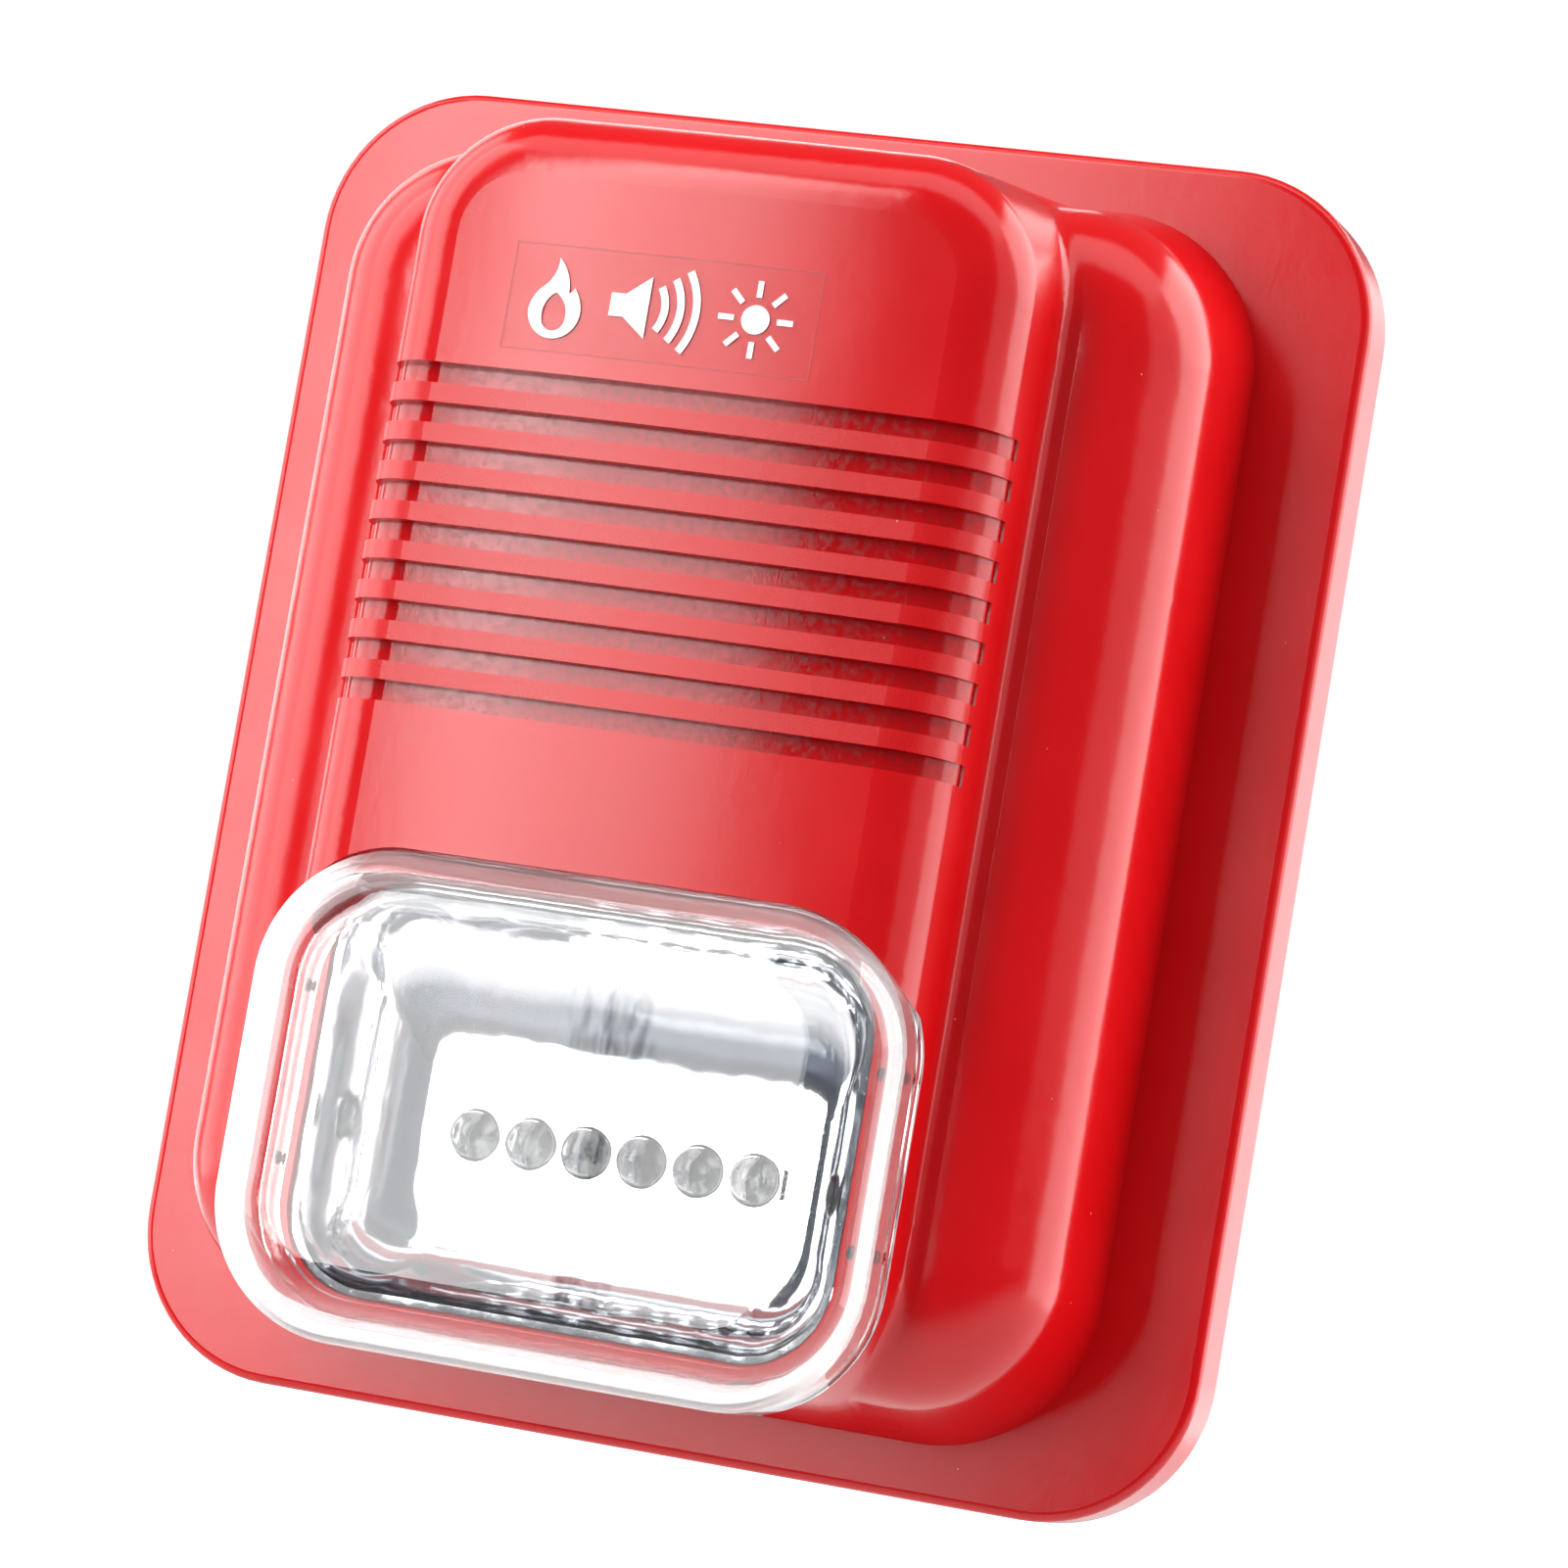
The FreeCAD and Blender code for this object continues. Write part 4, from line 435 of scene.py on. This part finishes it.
def white_print():
    """White ink with the slightly soft, pinholed surface of a printed sticker."""
    finish = Finish("white_print_ink")
    pinholes = finish.spread(finish.cells(0.35 * MM), 0.05, 0.14)
    blotch = finish.noise(1.2 * MM, 3.0)
    colour = finish.blend(finish.spread(blotch, 0.3, 0.7), (0.86, 0.84, 0.85), (0.95, 0.93, 0.94))
    colour = finish.blend(finish.maths("SUBTRACT", 1.0, pinholes), colour, (0.85, 0.62, 0.62))
    relief = finish.bump(blotch, 0.01 * MM)
    return finish.done(finish.shade(colour, finish.spread(blotch, 0.3, 0.7, 0.30, 0.45), relief))


def middle_height(node_name):
    """How high the middle of a node's box stands."""
    low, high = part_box(node_name)
    return (low.z + high.z) / 2


def resistor_body():
    """Tan paint with brown, black, red and gold rings."""
    width = 0.5 * MM
    brown = (-1.7 * MM, width, (0.09, 0.025, 0.01))
    black = (-0.7 * MM, width, (0.01, 0.01, 0.01))
    red = (0.3 * MM, width, (0.45, 0.02, 0.01))
    gold = (1.6 * MM, width, (0.55, 0.33, 0.05))
    rings = (brown, black, red, gold)
    return banded("resistor_body_paint", (0.62, 0.44, 0.24), rings, middle_height("resistors"))


def diode_body():
    """Black glass paint with a grey ring at the cathode end."""
    ring = (1.4 * MM, 0.7 * MM, (0.75, 0.75, 0.75))
    return banded("diode_body_paint", (0.02, 0.02, 0.02), (ring,), middle_height("diodes"))


def finishes():
    """Every material slot's finish, by the slot's name."""
    return {
        "red_housing": red_housing(),
        "clear_lens": clear_lens(),
        "mirror_dish": mirror_dish(),
        "clear_epoxy": clear_epoxy(),
        "clear_film": clear_film(),
        "white_print": white_print(),
        "black_plastic": plain("black_plastic_satin",
                               (0.018, 0.018, 0.020), (0.028, 0.028, 0.030), 0.42),
        "brass_sheet": brushed("brass_sheet_rolled", (0.78, 0.53, 0.22), 0.30, (12, 1, 1)),
        "ceramic_white": plain("ceramic_white_fired", (0.78, 0.77, 0.72), (0.70, 0.68, 0.62), 0.45),
        "grey_foam": foam(),
        "board_green": circuit_board("board_green_mask"),
        "tinned_metal": brushed("tinned_metal_lead", (0.78, 0.78, 0.76), 0.28),
        "zinc_screw": brushed("zinc_screw_plate", (0.70, 0.70, 0.68), 0.34),
        "copper_wire": wound_wire(),
        "ferrite": plain("ferrite_core", (0.035, 0.034, 0.036), (0.055, 0.053, 0.055), 0.62, 0.03 * MM),
        "resistor_body": resistor_body(),
        "diode_body": diode_body(),
        "capacitor_sleeve": plain("capacitor_sleeve_film",
                                  (0.012, 0.020, 0.060), (0.018, 0.028, 0.080), 0.26),
        "chip_black": plain("chip_black_epoxy", (0.022, 0.022, 0.022), (0.034, 0.034, 0.034), 0.60),
        "selector_blue": plain("selector_blue_plastic",
                               (0.010, 0.065, 0.33), (0.008, 0.050, 0.27), 0.38),
        "lever_white": plain("lever_white_plastic", (0.80, 0.80, 0.78), (0.72, 0.72, 0.70), 0.40),
        "terminal_green": plain("terminal_green_plastic",
                                (0.010, 0.190, 0.060), (0.008, 0.150, 0.050), 0.40),
        "wire_red": plain("wire_red_sleeve", (0.50, 0.012, 0.012), (0.42, 0.008, 0.008), 0.36),
        "wire_black": plain("wire_black_sleeve", (0.015, 0.015, 0.015), (0.024, 0.024, 0.024), 0.36),
        "black_rubber": plain("black_rubber_soft", (0.020, 0.020, 0.020), (0.032, 0.032, 0.032), 0.66),
    }


def dress_nodes(frame, by_slot):
    """Gives every CAD node its finish, by the slot name it was packed with."""
    for node in frame["nodes"].values():
        for index, material in enumerate(node.data.materials):
            slot_name = material.name.split(".")[0]
            node.data.materials[index] = by_slot[slot_name]


# ---------------------------------------------------------------------------------------------------------
# Visual pieces
# ---------------------------------------------------------------------------------------------------------
def new_piece(name, mesh, material, body):
    """Turns a finished bmesh into a piece that rides on a body."""
    data = bpy.data.meshes.new(name)
    mesh.to_mesh(data)
    mesh.free()
    for polygon in data.polygons:
        polygon.use_smooth = True
    piece = bpy.data.objects.new(name, data)
    bpy.context.scene.collection.objects.link(piece)
    piece.data.materials.append(material)
    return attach(piece, body)


def ring_of_points(mesh, centre, radius, y):
    """A ring of vertices round centre (x, z) in a plane parallel to the wall."""
    points = []
    for step in range(TURNED_STEPS):
        angle = 2 * math.pi * step / TURNED_STEPS
        x = centre[0] + radius * math.cos(angle)
        z = centre[1] + radius * math.sin(angle)
        points.append(mesh.verts.new((x, y, z)))
    return points


def skin(mesh, rings):
    """Faces between rings, with the two ends closed."""
    for first, second in zip(rings, rings[1:]):
        for step in range(TURNED_STEPS):
            after = (step + 1) % TURNED_STEPS
            mesh.faces.new((first[step], first[after], second[after], second[step]))
    mesh.faces.new(list(reversed(rings[0])))
    mesh.faces.new(rings[-1])


def turned(mesh, centre, outline):
    """A turned shape about an axis normal to the wall. The outline is a list of (radius, y) pairs."""
    skin(mesh, [ring_of_points(mesh, centre, radius, y) for radius, y in outline])


def post(mesh, corner, opposite):
    """A small box with chamfered edges between two corners."""
    corners = bmesh.ops.create_cube(mesh, size=1)["verts"]
    size = [opposite[i] - corner[i] for i in range(3)]
    middle = [(opposite[i] + corner[i]) / 2 for i in range(3)]
    for vertex in corners:
        for i in range(3):
            vertex.co[i] = middle[i] + vertex.co[i] * size[i]
    edges = list({edge for vertex in corners for edge in vertex.link_edges})
    bevel = 0.15 * min(abs(length) for length in size)
    bmesh.ops.bevel(mesh, geom=edges, offset=bevel, segments=2, affect="EDGES", profile=0.5)


def mottled_grey():
    """The uneven bowl round a lamp's chip, in patches of dark and light grey."""
    finish = Finish("lamp_chip_grey")
    patches = finish.noise(0.9 * MM, 4.0, 0.7)
    colour = finish.blend(finish.spread(patches, 0.46, 0.60), (0.004, 0.004, 0.005), (0.40, 0.40, 0.39))
    relief = finish.bump(patches, 0.10 * MM)
    return finish.done(finish.shade(colour, finish.spread(patches, 0.3, 0.7, 0.25, 0.5), relief))


def lamp_middles():
    """Where the six lamps stand, as (x, z) pairs from left to right."""
    low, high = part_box("led_lamps")
    radius = (high.z - low.z) / 2
    step = (high.x - low.x - 2 * radius) / (LAMP_COUNT - 1)
    return [(low.x + radius + step * i, (low.z + high.z) / 2) for i in range(LAMP_COUNT)]


def leg(mesh, x, z, left, right, back, length):
    """One leg of a lamp, between left and right of its middle (x, z), that stands forward from back."""
    corner = (x + left, back, z - LEG_HALF_HEIGHT)
    opposite = (x + right, back - length, z + LEG_HALF_HEIGHT)
    post(mesh, corner, opposite)


def cup_outline(back):
    """The metal cup that holds a chip: a stem that flares to a rim, and the hollow inside it."""
    rim = back - CUP_FRONT
    stem = [(0.35 * MM, back - 2.6 * MM), (0.75 * MM, back - 3.1 * MM)]
    hollow = [(1.05 * MM, rim), (0.85 * MM, rim), (0.45 * MM, rim + 0.55 * MM)]
    return stem + hollow


def bowl_outline(back):
    """The low grey dome behind the rim of the cup, widest a little way forward of its back."""
    rim = back - CUP_FRONT
    widest = [(1.95 * MM, rim + 1.3 * MM), (2.05 * MM, rim + 0.9 * MM)]
    top = [(1.30 * MM, rim + 0.3 * MM), (0.45 * MM, rim + 0.12 * MM)]
    return widest + top


def lamp_insides(by_slot):
    """What shows inside each lamp: a cup on the wide leg, the slim leg beside it, and a grey bowl."""
    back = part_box("led_lamps")[1].y
    metal = bmesh.new()
    chips = bmesh.new()
    for x, z in lamp_middles():
        leg(metal, x, z, WIDE_LEG_LEFT, WIDE_LEG_RIGHT, back, WIDE_LEG_LENGTH)
        turned(metal, (x + CUP_ASIDE, z), cup_outline(back))
        leg(metal, x, z, SLIM_LEG_LEFT, SLIM_LEG_RIGHT, back, SLIM_LEG_LENGTH)
        turned(chips, (x, z), bowl_outline(back))
    new_piece("lamp_lead_frames", metal, by_slot["tinned_metal"], "base")
    new_piece("lamp_chips", chips, mottled_grey(), "base")


# ---------------------------------------------------------------------------------------------------------
# Floor, light and camera
# ---------------------------------------------------------------------------------------------------------
def floor_finish():
    """Pale paper. Where it is mirrored it falls into shade on the camera's side, as the room does."""
    finish = Finish("pale_floor_paper")
    grain = finish.noise(20 * MM, 4.0)
    pale = finish.blend(grain, (0.93, 0.93, 0.93), (0.96, 0.96, 0.96))
    near = finish.spread(finish.axis("Y"), FLOOR_DARK_AT, FLOOR_PALE_AT)
    seen = finish.add("ShaderNodeLightPath").outputs["Is Camera Ray"]
    mirrored = finish.blend(near, FRONT_ROOM, (0.50, 0.50, 0.50))
    colour = finish.blend(seen, mirrored, pale)
    glow = finish.between(seen, finish.maths("MULTIPLY", near, 0.12), 1.0)
    relief = finish.bump(grain, 0.1 * MM)
    return finish.done(finish.shade(colour, 0.8, relief, Emission_Color=WHITE, Emission_Strength=glow))


def make_floor(height):
    mesh = bmesh.new()
    bmesh.ops.create_grid(mesh, x_segments=1, y_segments=1, size=FLOOR_SIZE / 2)
    data = bpy.data.meshes.new("floor")
    mesh.to_mesh(data)
    mesh.free()
    floor = bpy.data.objects.new("floor", data)
    floor.location.z = height
    bpy.context.scene.collection.objects.link(floor)
    floor.data.materials.append(floor_finish())


def direction(azimuth, elevation):
    """A unit vector from the object: azimuth 0 is straight out from the wall, and 90 is to the right."""
    a = math.radians(azimuth)
    e = math.radians(elevation)
    return Vector((math.sin(a) * math.cos(e), -math.cos(a) * math.cos(e), math.sin(e)))


def softbox(name, azimuth, elevation, distance, width, height, radiance, target):
    """A flat rectangular light that faces the object. Its power is pi times its radiance and its area."""
    lamp = bpy.data.lights.new(name, "AREA")
    lamp.shape = "RECTANGLE"
    lamp.size = width
    lamp.size_y = height
    lamp.energy = radiance * width * height * math.pi
    light = bpy.data.objects.new(name, lamp)
    outwards = direction(azimuth, elevation)
    light.location = target + outwards * distance
    light.rotation_mode = "QUATERNION"
    light.rotation_quaternion = outwards.to_track_quat("Z", "Y")
    bpy.context.scene.collection.objects.link(light)


def light_strip(name, first, last, low, high, distance, radiance, target):
    """A softbox that fills the view from the object between two azimuths and two elevations."""
    width = 2 * distance * math.tan(math.radians((last - first) / 2))
    height = 2 * distance * math.tan(math.radians((high - low) / 2))
    softbox(name, (first + last) / 2, (low + high) / 2, distance, width, height, radiance, target)


def make_lights(target):
    """Each light states its azimuths, its elevations, its distance and its radiance."""
    light_strip("left_strip_bright", -33, -26, -9, 48, 0.60, 8.5, target)
    light_strip("left_strip_middle", -26, -19, -9, 48, 0.60, 5.4, target)
    light_strip("left_strip_soft", -19, -13.5, -9, 48, 0.60, 4.4, target)
    light_strip("near_left_sheet", -78, -56, -30, 50, 0.80, 3.6, target)
    light_strip("far_left_sheet", -112, -78, -30, 50, 0.80, 2.4, target)
    light_strip("right_fill", 60, 96, 0, 45, 0.80, 0.8, target)
    light_strip("right_sheet_high", 96, 146, 12, 55, 0.80, 4.2, target)
    light_strip("right_sheet_low", 96, 146, -20, 12, 0.80, 2.8, target)
    light_strip("top_box", -30, 50, 58, 88, 0.90, 1.8, target)
    light_strip("rear_right_sheet", 156, 176, -40, 40, 0.90, 1.8, target)
    light_strip("rear_left_sheet", -165, -122, -40, 40, 0.90, 1.6, target)


def make_world():
    """A dim room in front, a paler one behind, and plain white wherever the camera looks past the object."""
    world = bpy.data.worlds.new("studio")
    bpy.context.scene.world = world
    shading = Shading(world)
    outwards = shading.split(shading.add("ShaderNodeTexCoord").outputs["Generated"])
    rays = shading.add("ShaderNodeLightPath").outputs
    room = shading.blend(shading.spread(outwards["Y"], ROOM_DARK_AT, ROOM_PALE_AT), FRONT_ROOM, REAR_ROOM)
    lit = shading.blend(rays["Is Diffuse Ray"], room, AMBIENT)
    seen = shading.blend(rays["Is Camera Ray"], lit, WHITE)
    light = shading.add("ShaderNodeBackground")
    shading.feed(light.inputs["Color"], seen)
    output = shading.add("ShaderNodeOutputWorld")
    shading.feed(output.inputs["Surface"], light.outputs[0])


def make_camera():
    back = direction(VIEW_AZIMUTH, VIEW_ELEVATION)
    level = direction(VIEW_AZIMUTH + 90, 0)
    upright = back.cross(level)
    roll = math.radians(VIEW_ROLL)
    right = math.cos(roll) * level + math.sin(roll) * upright
    up = back.cross(right)
    place = VIEW_SHIFT[0] * right + VIEW_SHIFT[1] * up + VIEW_DISTANCE * back
    data = bpy.data.cameras.new("camera")
    data.sensor_width = SENSOR_WIDTH
    data.lens = LENS_LENGTH
    data.clip_start = NEAREST_SEEN
    camera = bpy.data.objects.new("camera", data)
    camera.matrix_world = Matrix.Translation(place) @ Matrix((right, up, back)).transposed().to_4x4()
    bpy.context.scene.collection.objects.link(camera)
    bpy.context.scene.camera = camera


def make_studio():
    low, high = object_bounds()
    make_floor(low.z - FLOOR_DROP)
    make_lights((low + high) / 2)
    make_world()
    make_camera()
    bpy.context.scene.view_settings.view_transform = "Standard"


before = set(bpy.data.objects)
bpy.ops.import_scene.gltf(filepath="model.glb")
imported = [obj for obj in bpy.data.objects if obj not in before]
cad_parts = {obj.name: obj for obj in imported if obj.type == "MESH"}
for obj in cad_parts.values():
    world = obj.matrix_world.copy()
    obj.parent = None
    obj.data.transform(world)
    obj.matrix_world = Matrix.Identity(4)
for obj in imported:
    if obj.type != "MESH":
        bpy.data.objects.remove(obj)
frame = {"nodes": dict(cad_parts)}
bpy.context.view_layer.update()
by_slot = finishes()
dress_nodes(frame, by_slot)
lamp_insides(by_slot)
make_studio()
